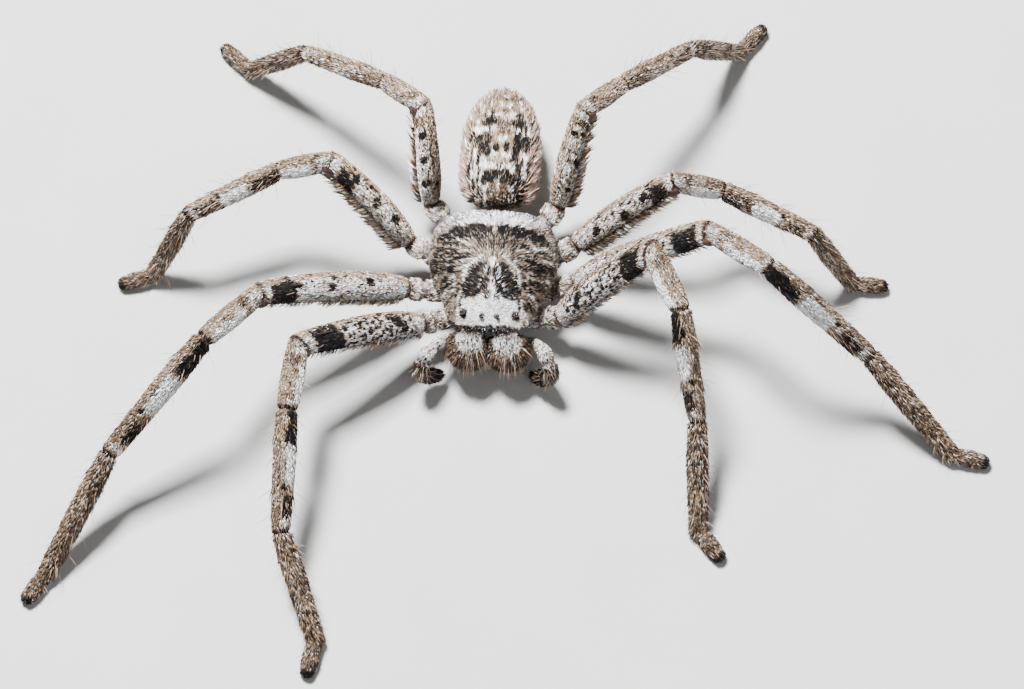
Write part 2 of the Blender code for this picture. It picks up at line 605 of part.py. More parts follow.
def make_leg(side, pair):
    """The five pieces of one leg, each its own closed mesh, face to face at the joints."""
    points = leg_joints(side, pair)
    widths = LEG_HALF_WIDTHS[pair]
    name = f"leg_{side}_{pair}_"
    add_object(name + "coxa", loft(segment_rings(points, 0, COXA_ROWS, widths[0], COXA_TALL)), BARE_BROWN)
    add_object(name + "patella", loft(segment_rings(points, 2, PATELLA_ROWS, widths[2])), COAT_TAN)
    metatarsus = segment_rings(points, 4, METATARSUS_ROWS, widths[4], gaps=(0.5 * GAP, 0.0))
    tarsus = segment_rings(points, 5, TARSUS_ROWS, widths[5], gaps=(0.0, 0.0))
    foot = [np.column_stack([ring[:, :2], np.maximum(ring[:, 2], FLOOR_Z)]) for ring in metatarsus + tarsus]
    spined = (("femur", 1, segment_rings(points, 1, FEMUR_ROWS, widths[1], FEMUR_TALL, FEMUR_ARCH), COAT_PALE,
               FEMUR_SPINES),
              ("tibia", 3, segment_rings(points, 3, TIBIA_ROWS, widths[3]), COAT_TAN, TIBIA_SPINES),
              ("foot", 4, foot, COAT_DARK, METATARSUS_SPINES))
    for piece, joint, rings, colour, spots in spined:
        bm = loft(rings)
        surface = BVHTree.FromBMesh(bm)
        obj = add_object(name + piece, bm, colour)
        add_spines(obj, surface, points[joint], points[joint + 1], spots)


for old in list(bpy.data.objects):
    bpy.data.objects.remove(old, do_unlink=True)

shield = make_shield()
shield_surface = BVHTree.FromBMesh(shield)
add_object("carapace", shield, COAT_PALE)
add_object("sternum", make_plate(), COAT_DARK)

chance = np.random.default_rng(SEED)
abdomen = make_abdomen()
abdomen_surface = BVHTree.FromBMesh(abdomen)
abdomen_object = add_object("abdomen", abdomen, COAT_PALE)
make_spinnerets(abdomen_surface)
add_locks(abdomen_object, abdomen_lock_roots(abdomen_surface, chance), ABDOMEN_LOCK_LIFT, ABDOMEN_LOCK_LONG,
          ABDOMEN_LOCK_WIDE, chance)

for side_name, sign, palp_rows in (("left", 1.0, PALP_LEFT), ("right", -1.0, PALP_RIGHT)):
    jaw = make_jaw(sign)
    jaw_surface = BVHTree.FromBMesh(jaw)
    jaw_object = add_object("chelicera_" + side_name, jaw, COAT_TAN)
    add_locks(jaw_object, jaw_lock_roots(jaw_surface, sign), JAW_LOCK_LIFT, JAW_LOCK_LONG, BRISTLE_LOCK_WIDE,
              chance)
    fang = loft(tube_rings([(sign * x, y, z, radius) for x, y, z, radius in FANG_ROWS], FANG_SIDES))
    add_object("fang_" + side_name, fang, FANG_BLACK, HORN_ROUGHNESS)
    for eye_name, (x, y, z), (dx, dy, dz), radius in EYES:
        eye = make_eye(shield_surface, (sign * x, y, z), (sign * dx, dy, dz), radius)
        add_object(f"eye_{side_name}_{eye_name}", eye, EYE_BLACK, HORN_ROUGHNESS)
    make_palp(side_name, palp_rows, chance)
    for pair in LEG_LENGTHS:
        make_leg(side_name, pair)
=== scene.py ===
"""A huntsman spider, life size, as a still museum model: skin, coat, bristles, spines, eyes, fangs and claws.

Metres, +Z up, head to -Y, the spider's left side at +X. Every form is a surface place(u, v), where v goes
once round and u runs along it, and both the skin and the roots of the hairs are read from that surface.
"""

import bpy
import numpy as np
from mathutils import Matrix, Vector


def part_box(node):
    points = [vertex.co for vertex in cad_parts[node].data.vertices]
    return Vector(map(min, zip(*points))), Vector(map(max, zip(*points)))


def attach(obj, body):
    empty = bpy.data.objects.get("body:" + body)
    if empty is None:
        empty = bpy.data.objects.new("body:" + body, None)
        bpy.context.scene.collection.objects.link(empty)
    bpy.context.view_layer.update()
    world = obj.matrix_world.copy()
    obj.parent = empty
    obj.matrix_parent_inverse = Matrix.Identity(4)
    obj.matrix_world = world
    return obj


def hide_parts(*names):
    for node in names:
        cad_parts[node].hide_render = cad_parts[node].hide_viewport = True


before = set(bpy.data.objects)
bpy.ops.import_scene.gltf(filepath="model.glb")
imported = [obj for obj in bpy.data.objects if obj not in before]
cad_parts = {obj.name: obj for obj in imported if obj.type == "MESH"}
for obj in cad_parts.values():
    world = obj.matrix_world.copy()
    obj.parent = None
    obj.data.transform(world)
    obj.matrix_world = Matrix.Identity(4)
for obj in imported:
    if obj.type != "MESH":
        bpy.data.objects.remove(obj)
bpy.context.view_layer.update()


# The head shield is one thin horny plate, domed over the head and the muscles of the legs, and grown with the
# body. It is covered in short hair to its rim, apart from a fine bare line where it folds in at the middle.

MM = 0.001
BODY_AT = np.array((-0.0039, 0.0060, 0.0))
COAT_DEPTH = 0.00026
# The rim seen from above: how far to the rear of the middle, and half the width there
SHIELD_OUTLINE = ((-0.0088, 0.0000), (-0.0087, 0.0022), (-0.0080, 0.0045), (-0.0062, 0.0055),
                  (-0.0036, 0.0063), (-0.0010, 0.0077), (0.0016, 0.0081), (0.0050, 0.0077),
                  (0.0070, 0.0062), (0.0082, 0.0041), (0.0085, 0.0000))
# The ridge seen from the side: how far to the rear, and its height
SHIELD_CROWN = ((-0.0088, 0.0091), (-0.0072, 0.0100), (-0.0050, 0.0108), (-0.0010, 0.0113),
                (0.0020, 0.0112), (0.0050, 0.0103), (0.0072, 0.0086), (0.0085, 0.0070))
SHIELD_MIDDLE = np.array((0.0, -0.00015))
SHIELD_RIM_Z, SHIELD_UNDER_Z = 0.0072, 0.0066
SHIELD_FRONT_RIM_Z, SHIELD_FRONT_UNDER_Z = 0.0089, 0.0081
SHIELD_FRONT_FROM, SHIELD_FRONT_TO = -0.0072, -0.0058
SHIELD_LIP = 0.07
FOLD_LINE = (0.0004, 0.0034)
FOLD_DEPTH, FOLD_HALF_WIDTH = 0.00022, 0.00022
# Edges of the shield's marks in millimetres from its middle: places along one way, and the edge the other way
ARC_REAR = ((0.0, 2.4, 4.6, 6.25, 7.3), (5.65, 5.8, 5.25, 4.2, 3.4))
ARC_FRONT = ((0.0, 1.6, 4.05, 6.55, 7.3), (4.1, 3.7, 3.05, 2.7, 2.7))
LIGHT_LINE = ((-3.4, -2.6, -1.4, -0.5, 0.5), (3.95, 3.65, 3.45, 2.75, 1.45))
WEDGE_INNER = ((-5.2, -4.2, -3.5, -2.9, -2.3, -1.7, -1.1, -0.3), (2.3, 1.3, 0.8, 0.55, 0.35, 0.1, 0.1, 0.38))
WEDGE_OUTER = ((-5.0, -3.4, -1.7, -0.4, 0.0), (3.65, 3.7, 2.8, 1.75, 0.9))
# Ovals of the shield's marks: middle across and along, half sizes, then strength, turn and softness
SIDE_BARS = ((5.2, 0.05, 1.9, 0.42, 1.0, -3.0), (5.9, 1.75, 1.0, 0.28, 0.8, 12.0),
             (5.3, -1.35, 0.6, 0.32, 1.0, 20.0), (5.7, -2.3, 0.45, 0.3, 1.0, 30.0),
             (5.3, -3.15, 0.75, 0.42, 1.0, 35.0), (4.1, -2.9, 0.4, 0.45, 0.85))
FACE_PITS = ((3.28, -6.85, 0.50, 0.55), (3.72, -5.6, 0.14, 0.9, 1.0, 6.0), (0.97, -7.06, 0.34, 0.34, 0.85))
BROWN_DOTS = ((0.12, -1.72, 0.42, 0.32), (-0.1, -4.16, 0.34, 0.34, 0.7))
WHITE_DOTS = ((0.05, -0.15, 0.42, 0.95, 1.0, 0.0, 0.2), (0.05, -2.85, 0.55, 0.55))


def ease(low, high, value):
    """0 below low and 1 above high, with the cubic 3t^2 - 2t^3 between."""
    t = np.clip((value - low) / (high - low), 0.0, 1.0)
    return t * t * (3.0 - 2.0 * t)


def fade(low, high, value):
    """1 below low and 0 above high, the other way round from ease."""
    return 1.0 - ease(low, high, value)


def through(rows, at):
    """A smooth curve through the rows, read at places counted in rows. Each row is left along the line
    between its neighbours, and a cubic leads from it to the next."""
    rows = np.asarray(rows, float)
    at = np.clip(np.asarray(at, float), 0.0, len(rows) - 1.0)
    k = np.minimum(at.astype(int), len(rows) - 2)
    t = (at - k)[..., None]
    first, last = (k == 0)[..., None], (k == len(rows) - 2)[..., None]
    before = np.where(first, 2 * rows[0] - rows[1], rows[k - 1])
    after = np.where(last, 2 * rows[-1] - rows[-2], rows[np.minimum(k + 2, len(rows) - 1)])
    near, far = rows[k], rows[k + 1]
    return near + 0.5 * t * (far - before + t * (2 * before - 5 * near + 4 * far - after
                                                 + t * (3 * near - before - 3 * far + after)))


def unit(vectors):
    """Vectors scaled to length 1."""
    return vectors / np.maximum(np.linalg.norm(vectors, axis=-1, keepdims=True), 1e-12)


def shield(u, v):
    """The dome: u from the rim (0) to the crown (1) and, below 0, in under the rim, v round from the front.
    With t a quarter turn at the crown, the share of the rim's distance is cos(0.97 t), and the height goes up
    by sin(t)^0.85."""
    half = 2.0 * np.minimum(v, 1.0 - v) * (len(SHIELD_OUTLINE) - 1)
    outline = through(SHIELD_OUTLINE, half)
    rim = np.stack([outline[..., 1] * np.where(v < 0.5, 1.0, -1.0), outline[..., 0]], -1)
    from_middle = rim - SHIELD_MIDDLE
    from_middle = from_middle * (1.0 - COAT_DEPTH / np.linalg.norm(from_middle, axis=-1, keepdims=True))
    front = fade(SHIELD_FRONT_FROM, SHIELD_FRONT_TO, rim[..., 1])
    rim_z = SHIELD_RIM_Z + (SHIELD_FRONT_RIM_Z - SHIELD_RIM_Z) * front
    under_z = SHIELD_UNDER_Z + (SHIELD_FRONT_UNDER_Z - SHIELD_UNDER_Z) * front
    slope = np.clip(u, 0.0, 1.0) * 0.5 * np.pi
    share = np.where(u < 0.0, 1.0 + u, np.cos(0.97 * slope))
    flat = SHIELD_MIDDLE + from_middle * share[..., None]
    crown_y, crown_z = np.transpose(SHIELD_CROWN)
    crown = np.interp(flat[..., 1], crown_y, crown_z) - COAT_DEPTH
    top = rim_z + (crown - rim_z) * np.sin(slope) ** 0.85
    fold = (ease(FOLD_LINE[0] - 0.0006, FOLD_LINE[0] + 0.0006, flat[..., 1])
            * fade(FOLD_LINE[1] - 0.0004, FOLD_LINE[1] + 0.0010, flat[..., 1]))
    top = top - FOLD_DEPTH * fold * np.exp(-(flat[..., 0] / FOLD_HALF_WIDTH) ** 2)
    z = np.where(u < 0.0, rim_z + (under_z - rim_z) * np.minimum(1.0, -u / SHIELD_LIP), top)
    return np.concatenate([flat, z[..., None]], -1) + BODY_AT


class Shell:
    """One closed form of the body: a surface place(u, v) read on a grid, its two ends closed by fans.
    A jointed one steps at each whole u, so its directions are measured inside one segment."""

    def __init__(self, place, stations, columns, jointed=False):
        self.place, self.jointed = place, jointed
        self.stations, self.columns = np.asarray(stations, float), columns
        self.u, self.v = np.meshgrid(self.stations, np.arange(columns) / columns, indexing="ij")
        grid = place(self.u, self.v)
        rows = len(self.stations)
        ends = np.stack([grid[0].mean(0), grid[-1].mean(0)])
        self.points = np.concatenate([grid.reshape(-1, 3), ends])
        here = np.arange(rows * columns).reshape(rows, columns)
        on = np.roll(here, -1, axis=1)
        quads = np.stack([here[:-1], on[:-1], on[1:], here[1:]], -1).reshape(-1, 4)
        first = np.stack([on[0], here[0], np.full(columns, rows * columns)], -1)
        last = np.stack([here[-1], on[-1], np.full(columns, rows * columns + 1)], -1)
        self.triangles = np.concatenate([quads[:, [0, 1, 2]], quads[:, [0, 2, 3]], first, last])
        a, b, c = (self.points[self.triangles[:, k]] for k in range(3))
        self.hand = 1.0 if np.sum(a * np.cross(b, c)) > 0.0 else -1.0
        if self.hand < 0.0:
            self.triangles = self.triangles[:, ::-1]

    def at(self, u, v):
        """The point, the normal pointing out, the directions along u and v, and the area of one unit."""
        step = 0.002
        low, high = u - step, u + step
        if self.jointed:
            low = np.maximum(low, np.floor(u) + 1e-4)
            high = np.minimum(high, np.floor(u) + 1.0 - 1e-4)
        along = (self.place(high, v) - self.place(low, v)) / (high - low)[..., None]
        around = (self.place(u, (v + step) % 1.0) - self.place(u, (v - step) % 1.0)) / (2.0 * step)
        across = np.cross(around, along) * self.hand
        return self.place(u, v), unit(across), unit(along), unit(around), np.linalg.norm(across, axis=-1)

    def scatter(self, count, span, draw, dense=None, cells=(240, 48)):
        """Roots spread evenly over the area between two stations, or as densely as dense(u, v, point)."""
        u, v = np.meshgrid(span[0] + (np.arange(cells[0]) + 0.5) / cells[0] * (span[1] - span[0]),
                           (np.arange(cells[1]) + 0.5) / cells[1], indexing="ij")
        point, _, _, _, weight = self.at(u, v)
        if dense is not None:
            weight = weight * dense(u, v, point)
        chosen = draw.choice(weight.size, count, p=weight.ravel() / weight.sum())
        u = u.ravel()[chosen] + (draw.random(count) - 0.5) * (span[1] - span[0]) / cells[0]
        v = (v.ravel()[chosen] + (draw.random(count) - 0.5) / cells[1]) % 1.0
        return u, v


def add_mesh(name, points, triangles, values=None, patches=None, smooth=True):
    """A mesh object from arrays: points, triangles, values at the points and UV patches at the corners."""
    mesh = bpy.data.meshes.new(name)
    mesh.vertices.add(len(points))
    mesh.vertices.foreach_set("co", np.asarray(points, np.float32).ravel())
    mesh.loops.add(triangles.size)
    mesh.loops.foreach_set("vertex_index", np.asarray(triangles, np.int32).ravel())
    mesh.polygons.add(len(triangles))
    mesh.polygons.foreach_set("loop_start", np.arange(0, triangles.size, 3, dtype=np.int32))
    mesh.update(calc_edges=True)
    if smooth:
        mesh.shade_smooth()
    for key, value in (values or {}).items():
        mesh.attributes.new(key, "FLOAT", "POINT").data.foreach_set("value", np.asarray(value, np.float32))
    if patches is not None:
        layer = mesh.uv_layers.new(name="OFBake")
        layer.uv.foreach_set("vector", np.asarray(patches, np.float32)[triangles.ravel()].ravel())
    made = bpy.data.objects.new(name, mesh)
    bpy.context.scene.collection.objects.link(made)
    return made


def mottle(x, y, seed):
    """Soft patches one unit across, 0 to 1: a random height at each whole number, eased between them."""
    table = np.random.default_rng(seed).random((64, 64))
    i, j = np.floor(x).astype(int), np.floor(y).astype(int)
    s, t = ease(0.0, 1.0, x - i), ease(0.0, 1.0, y - j)
    low = table[i % 64, j % 64] * (1 - s) + table[(i + 1) % 64, j % 64] * s
    high = table[i % 64, (j + 1) % 64] * (1 - s) + table[(i + 1) % 64, (j + 1) % 64] * s
    return low * (1 - t) + high * t


def spot(x, y, at, size, turn=0.0, soft=0.35):
    """1 in an oval of half sizes size about at, turned by degrees, and 0 outside it past a soft edge."""
    c, s = np.cos(np.radians(turn)), np.sin(np.radians(turn))
    p, q = x - at[0], y - at[1]
    return fade(1.0 - soft, 1.0 + soft, np.hypot((p * c + q * s) / size[0], (q * c - p * s) / size[1]))


def band(value, low, high, soft):
    """1 between low and high, and 0 outside them past a soft edge."""
    return ease(low - soft, low + soft, value) * fade(high - soft, high + soft, value)


def either(*masks):
    """The largest of several masks at each place."""
    return np.maximum.reduce(masks)


def oval(x, y, across, along, half_across, half_along, strength=1.0, turn=0.0, soft=0.35):
    """A spot of some strength, from one row of a table."""
    return strength * spot(x, y, (across, along), (half_across, half_along), turn, soft)


def ovals(x, y, rows):
    """The largest of a table's ovals at each place."""
    return either(*(oval(x, y, *row) for row in rows))


def in_millimetres(point):
    """The three distances of a place from the floor under the shield's middle, in millimetres."""
    return np.moveaxis((point - BODY_AT) / MM, -1, 0)


def shield_marks(point):
    """Marks of the head shield, in millimetres from its middle. A white rear band has a dark arc inside it,
    then come rays of tan, white and dark, a dark wedge down the middle of the head, whose inner half is
    painted with a pale blue-grey sheen, and a white mask round the eyes."""
    x, y, _ = in_millimetres(point)
    wide = np.abs(x)
    turn, far = np.arctan2(x, y - 0.6), np.hypot(x, y - 0.6)
    ray = mottle(turn * 9.0 + 20.0, far * 0.55, 3)
    fine = mottle(turn * 24.0 + 30.0, far * 0.9 + 9.0, 5)
    fleck = mottle(x * 2.6 + 9.0, y * 2.6 + 30.0, 4)
    grain = 0.45 * ray + 0.30 * fine + 0.25 * fleck
    arc_to = np.interp(wide, *ARC_REAR) + 0.9 * (fine - 0.5)
    arc_from = np.interp(wide, *ARC_FRONT) + 0.7 * (fleck - 0.5)
    arc = ease(arc_from - 0.5, arc_from + 0.5, y) * fade(arc_to - 0.2, arc_to + 0.15, y)
    arc = arc * ease(0.12, 0.4, wide) * fade(6.7, 7.4, wide)
    rays = ease(0.47, 0.60, grain) * ease(1.5, 3.2, far) * ease(-5.6, -4.0, y) * fade(arc_to - 0.3, arc_to, y)
    sides = ovals(wide, y, SIDE_BARS)
    light = band(y, -3.2, 0.7, 0.25) * band(wide - np.interp(y, *LIGHT_LINE), -0.22, 0.20, 0.10)
    near, away = np.interp(y, *WEDGE_INNER), np.interp(y, *WEDGE_OUTER)
    wedge = band(y, -5.05, -0.25, 0.2) * band(wide, near, away, 0.10)
    head = band(y, -5.05, 0.2, 0.2) * fade(away - 0.2, away + 0.1, wide)
    across = np.clip((wide - near) / (away - near), 0.0, 1.0)
    # Painted sheen: a paler blue-grey in the inner half of the dark wedge, standing in for a sheen of light.
    painted_sheen = wedge * band(across, 0.12, 0.48, 0.08) * ease(0.25, 0.6, fine)
    fold = spot(x, y, (0.0, 2.1), (0.13, 1.6), soft=0.3)
    edge = fade(-8.30, -8.05, y + 0.5 * (fleck - 0.5))
    bare = either(fold, ovals(wide, y, FACE_PITS), edge)
    dots = ovals(x, y, BROWN_DOTS)
    mask = band(y, -8.3, -5.05, 0.2) * fade(3.9, 4.3, wide)
    behind = ease(arc_to - 0.1, arc_to + 0.3, y)
    outer = ease(3.5, 5.2, wide)
    white = either(behind * (1.0 - 0.6 * outer), ovals(x, y, WHITE_DOTS), 0.85 * light, 0.9 * painted_sheen, mask,
                   fade(near - 0.2, near, wide) * band(y, -5.3, -3.2, 0.3),
                   0.68 * ease(0.54, 0.70, 1.0 - grain) * ease(1.4, 2.8, far) * (1.0 - head))
    dark = either(arc * (0.80 + 0.3 * fine), 0.8 * rays * (1.0 - light), sides * ease(0.1, 0.4, fine), bare,
                  wedge * (0.94 - 0.30 * ease(0.45, 0.7, across) * ray) * (1.0 - 0.22 * painted_sheen),
                  0.8 * fade(-5.0, -3.6, y) * (1.0 - mask) * ease(0.56, 0.66, fine),
                  0.36 * ease(0.30, 0.65, fine) * (1.0 - light) * (1.0 - mask),
                  0.62 * spot(wide, y, (1.3, 2.5), (1.6, 1.3), soft=0.5))
    dark = dark * (1.0 - 0.85 * spot(x, y, (0.05, -0.15), (0.35, 0.85), soft=0.2))
    white = white * (1.0 - either(0.9 * arc, wedge * (1.0 - 0.9 * painted_sheen), bare, 0.8 * sides, dots))
    white = white * (1.0 - 0.75 * dark * (1.0 - painted_sheen))
    white = white * (1.0 - 0.85 * spot(wide, y, (1.1, 2.7), (1.5, 1.3), soft=0.4))
    rim = ease(7.0, 8.0, np.hypot(x * 1.02, y * 0.95 + 0.2)) * fade(4.5, 6.0, y)
    brown = either(0.52 + 0.35 * fleck * ease(0.8, 2.5, far), 0.55 * rim, 0.9 * dots, 0.85 * dark,
                   wedge * ease(0.4, 0.6, across), 0.62 * behind * outer,
                   0.85 * spot(wide, y, (1.2, 2.6), (1.3, 1.3), soft=0.5))
    brown = brown * (1.0 - 0.85 * mask)
    return dark, white * (1.0 - 0.6 * rim), np.clip(brown, 0.0, 1.0)


SHIELD = Shell(shield, np.concatenate([[-0.95, -0.5, -SHIELD_LIP], np.linspace(0.0, 1.0, 60)]), 200)
SKINS = [(SHIELD, shield_marks(SHIELD.points))]


# Under the shield the legs spring from the breast plate, a low oval plate between their roots. It is part of
# the same skin.

PLATE_HALF_WIDTH, PLATE_HALF_LENGTH = 0.0039, 0.0068
PLATE_FRONT, PLATE_REAR = -0.0060, 0.0052
PLATE_LOW, PLATE_HIGH = 0.0032, 0.0068


def plate(u, v):
    """An oval slab cut straight at both ends: u from its underside to its top, narrower at both."""
    turn = 2.0 * np.pi * v
    share = np.sin(np.pi * (0.12 + 0.76 * u)) ** 0.45
    x = PLATE_HALF_WIDTH * np.cos(turn) * share
    y = np.clip(PLATE_HALF_LENGTH * np.sin(turn), PLATE_FRONT, PLATE_REAR) * share
    return np.stack([x, y, PLATE_LOW + (PLATE_HIGH - PLATE_LOW) * u], -1) + BODY_AT


def plain(shell, *values):
    """A shell with the same marks all over."""
    return shell, tuple(np.full(len(shell.points), value) for value in values)


PLATE = Shell(plate, np.linspace(0.0, 1.0, 14), 64)
SKINS.append(plain(PLATE, 0.45, 0.0, 0.8))


# The abdomen is one soft bag on a thin stalk, round in section and narrowing to the rear. Its thick coat lies
# to the rear in cream, white, brown and black, with a pinkish fringe that stands out along both sides.

# How far back, half the width, half the height, and the height of the middle
ABDOMEN_ROWS = ((0.0050, 0.0009, 0.0009, 0.0049), (0.0086, 0.0009, 0.0009, 0.0048),
                (0.0095, 0.0014, 0.0012, 0.0053), (0.0100, 0.0029, 0.0022, 0.0061),
                (0.0110, 0.0039, 0.0031, 0.0065), (0.0128, 0.0044, 0.0036, 0.0067),
                (0.0156, 0.0046, 0.0038, 0.0067), (0.0186, 0.0045, 0.0036, 0.0065),
                (0.0212, 0.0040, 0.0033, 0.0062), (0.0232, 0.0032, 0.0027, 0.0060),
                (0.0247, 0.0021, 0.0019, 0.0057), (0.0254, 0.0009, 0.0009, 0.0055))
# Black marks down each side of the back: how far out and back, half width and length in millimetres, and turn
BACK_MARKS = ((1.05, 12.1, 1.05, 0.72, -27.0), (2.1, 17.2, 0.66, 1.0, 0.0), (1.78, 15.7, 0.42, 1.0, -8.0),
              (2.9, 17.7, 0.52, 0.36, 20.0), (0.58, 16.05, 0.36, 0.66, 0.0), (1.85, 19.9, 0.85, 0.60, -15.0),
              (3.8, 18.0, 0.22, 0.75, 15.0))
# They are drawn larger than they show, because hairs from beside a mark cover its edge
MARK_GROWN, MARK_SOFT = 1.22, 0.2
# Ovals of the abdomen's other marks, in rows like the shield's
DARK_STREAKS = ((2.45, 12.4, 0.32, 1.4), (3.05, 11.0, 0.26, 1.3), (2.3, 10.4, 0.28, 0.8),
                (3.70, 13.2, 0.22, 1.5), (1.35, 10.2, 0.32, 0.6), (2.7, 14.3, 0.22, 0.8),
                (0.15, 13.4, 0.16, 0.5), (1.45, 14.4, 0.2, 0.35))
BROWN_MIDDLE = ((0.0, 19.0, 1.0, 1.45, 1.0, 0.0, 0.2), (0.0, 21.65, 0.48, 0.42, 1.0, 0.0, 0.2))
BROWN_SIDES = ((0.62, 10.9, 0.48, 0.9), (0.5, 10.0, 0.6, 0.5), (0.65, 14.25, 0.28, 0.35, 0.9),
               (1.25, 16.7, 0.3, 1.0, 0.7), (1.35, 18.2, 0.4, 0.5, 0.7))
WHITE_SIDES = ((0.1, 17.3, 0.4, 0.42), (1.0, 15.0, 0.85, 0.36), (1.0, 21.1, 0.7, 0.36),
               (0.48, 22.75, 0.28, 0.45), (0.22, 24.5, 0.13, 0.4), (2.0, 11.2, 0.36, 1.1),
               (1.45, 11.0, 0.25, 0.6), (1.4, 13.4, 0.75, 0.40), (2.9, 14.6, 0.45, 1.3),
               (3.3, 12.4, 0.25, 1.2), (0.3, 13.3, 0.3, 0.4))


def abdomen(u, v):
    """Ellipses on a curve through the rows, u counted in rows and v round from the left side over the top."""
    row = through(ABDOMEN_ROWS, u)
    turn = 2.0 * np.pi * v
    inset = COAT_DEPTH * ease(1.2, 3.0, u)
    x = (row[..., 1] - inset) * np.cos(turn)
    z = row[..., 3] + (row[..., 2] - inset) * np.sin(turn)
    return np.stack([x, row[..., 0], z], -1) + BODY_AT


def abdomen_marks(point):
    """Marks of the abdomen, in millimetres from the shield's middle: pairs of black marks down the back,
    brown patches between them, white bands beside them, and black and white streaks along it."""
    x, y, z = in_millimetres(point)
    x = x - 0.35 * ease(12.5, 21.0, y)
    wide = np.abs(x)
    streak = mottle(x * 3.4 + 40.0, y * 0.8, 6)
    fine = mottle(x * 5.0 + 11.0, y * 1.3 + 7.0, 7)
    wander = 0.20 * (mottle(x * 2.5, y * 2.5, 15) - 0.5)
    x, wide, y = x + wander, wide + wander, y + 2.0 * wander
    marks = either(*(spot(wide, y, (out, back), (MARK_GROWN * across, MARK_GROWN * along), turn, MARK_SOFT)
                     for out, back, across, along, turn in BACK_MARKS),
                   0.75 * spot(wide, y, (3.15, 16.8), (0.55, 0.75)),
                   0.9 * spot(x, y, (0.0, 23.8), (0.40, 0.30)))
    brown = either(ovals(x, y, BROWN_MIDDLE), ovals(wide, y, BROWN_SIDES), 0.38 + 0.25 * fine,
                   0.75 * ease(21.5, 23.5, y), 0.6 * ease(3.3, 4.1, wide), 0.62 * ease(0.55, 0.75, fine))
    pale = 18.8 + 0.04 * (wide - 2.0) ** 2
    white = either(band(y, pale - 0.42, pale + 0.42, 0.15) * band(wide, 0.95, 3.8, 0.2),
                   ovals(wide, y, WHITE_SIDES), spot(x, y, (0.05, 11.5), (0.1, 0.8)),
                   0.8 * band(y, 9.75, 10.35, 0.1) * ease(0.4, 0.6, fine),
                   0.75 * ease(0.60, 0.74, 1.0 - streak) * ease(0.9, 1.8, wide))
    front = fade(9.55, 9.95, y) * ease(4.5, 6.5, z)
    streaks = 0.85 * ease(0.56, 0.68, streak) * ease(0.9, 1.6, wide) * (1.0 - 0.7 * ease(21.0, 23.0, y))
    dark = either(marks, ovals(wide, y, DARK_STREAKS) * ease(0.10, 0.4, fine), streaks, front,
                  0.9 * band(y, 9.6, 10.6, 0.2) * ease(0.5, 0.62, fine))
    belly = fade(4.8, 7.2, z)
    dark, white = dark * (1.0 - 0.8 * belly), 0.88 * white * (1.0 - belly) * (1.0 - 0.95 * dark)
    return dark, white * (1.0 - 0.5 * ease(3.5, 4.2, wide)), np.clip(either(brown, 0.42 * belly), 0.0, 1.0)


ABDOMEN = Shell(abdomen, np.linspace(0.0, 11.0, 120), 108)
SKINS.append((ABDOMEN, abdomen_marks(ABDOMEN.points)))


# The spinnerets are three pairs of short jointed tubes under the tip of the abdomen, set close together, the
# outer pairs stout and the middle one small.

SPINNERET_AT = np.array((0.0, 0.0238, 0.0036))
# How far out and back each of one side's lies, its radius and its length
SPINNERET_SIZES = ((0.00055, -0.0004, 0.00040, 0.0017), (0.00050, 0.0006, 0.00034, 0.0016),
                   (0.00018, 0.0001, 0.0002, 0.0011))
SPINNERET_LIE = np.array((0.0, 0.72, -0.30))


def ring(v, side, up):
    """A circle of radius 1 spanned by two directions, v once round from the first."""
    turn = 2.0 * np.pi * v[..., None]
    return np.cos(turn) * side + np.sin(turn) * up


def spinneret(start, lie, radius, length):
    """A tube along lie, u from root to tip, which steps in at its joint and rounds off at its end."""
    lie = unit(lie)
    side = unit(np.cross(lie, (0.0, 0.0, 1.0)))
    up = np.cross(side, lie)

    def place(u, v):
        size = radius * (1.0 - 0.30 * ease(0.52, 0.60, u)) * np.sqrt(fade(0.75, 1.06, u))
        return start + lie * (length * u)[..., None] + size[..., None] * ring(v, side, up)
    return place


for sign in (-1.0, 1.0):
    for out, back, radius, length in SPINNERET_SIZES:
        start = BODY_AT + SPINNERET_AT + (sign * out, back, 0.0004)
        tube = spinneret(start, SPINNERET_LIE + (sign * 0.16, 0.0, 0.0), radius, length)
        SKINS.append(plain(Shell(tube, np.linspace(0.0, 1.0, 14), 14), 0.25, 0.0, 0.9))


# The jaws are two stout columns side by side under the front of the head, grey and white haired at the top,
# with orange-brown bristles lower down that hang over the folded fangs.

# Height, how far out and back the middle is, half the width, and the depth in front of it and behind
JAW_ROWS = ((0.0083, 0.00235, -0.0088, 0.0014, 0.0008, 0.0008),
            (0.0077, 0.00240, -0.0092, 0.0018, 0.0014, 0.0010),
            (0.0072, 0.00252, -0.0092, 0.0022, 0.0020, 0.0013),
            (0.0064, 0.00265, -0.0093, 0.00245, 0.0025, 0.0016),
            (0.0052, 0.00268, -0.0094, 0.00248, 0.0026, 0.0016),
            (0.0040, 0.00262, -0.0094, 0.00236, 0.0023, 0.0015),
            (0.0029, 0.00250, -0.0094, 0.0020, 0.0017, 0.0013),
            (0.0023, 0.00240, -0.0094, 0.0013, 0.0010, 0.0009))
JAW_INSET = 0.00025
JAW_NEARER = 0.0002


def jaw(sign):
    """One jaw: rings on a curve through the rows, u counted in rows downwards, deeper in front than behind.
    Below 0 the first ring shrinks to its middle, which closes the top."""
    def place(u, v):
        z, x, y, wide, forward, back = np.moveaxis(through(JAW_ROWS, u), -1, 0)
        turn = 2.0 * np.pi * v
        share = np.clip(1.0 + u, 0.0, 1.0)
        reach = share * (np.where(np.sin(turn) < 0.0, forward, back) - JAW_INSET)
        across = sign * (x - JAW_NEARER + share * (wide - JAW_INSET) * np.cos(turn))
        return np.stack([across, y + reach * np.sin(turn), z + 0.0001 * (1.0 - share)], -1) + BODY_AT
    return place


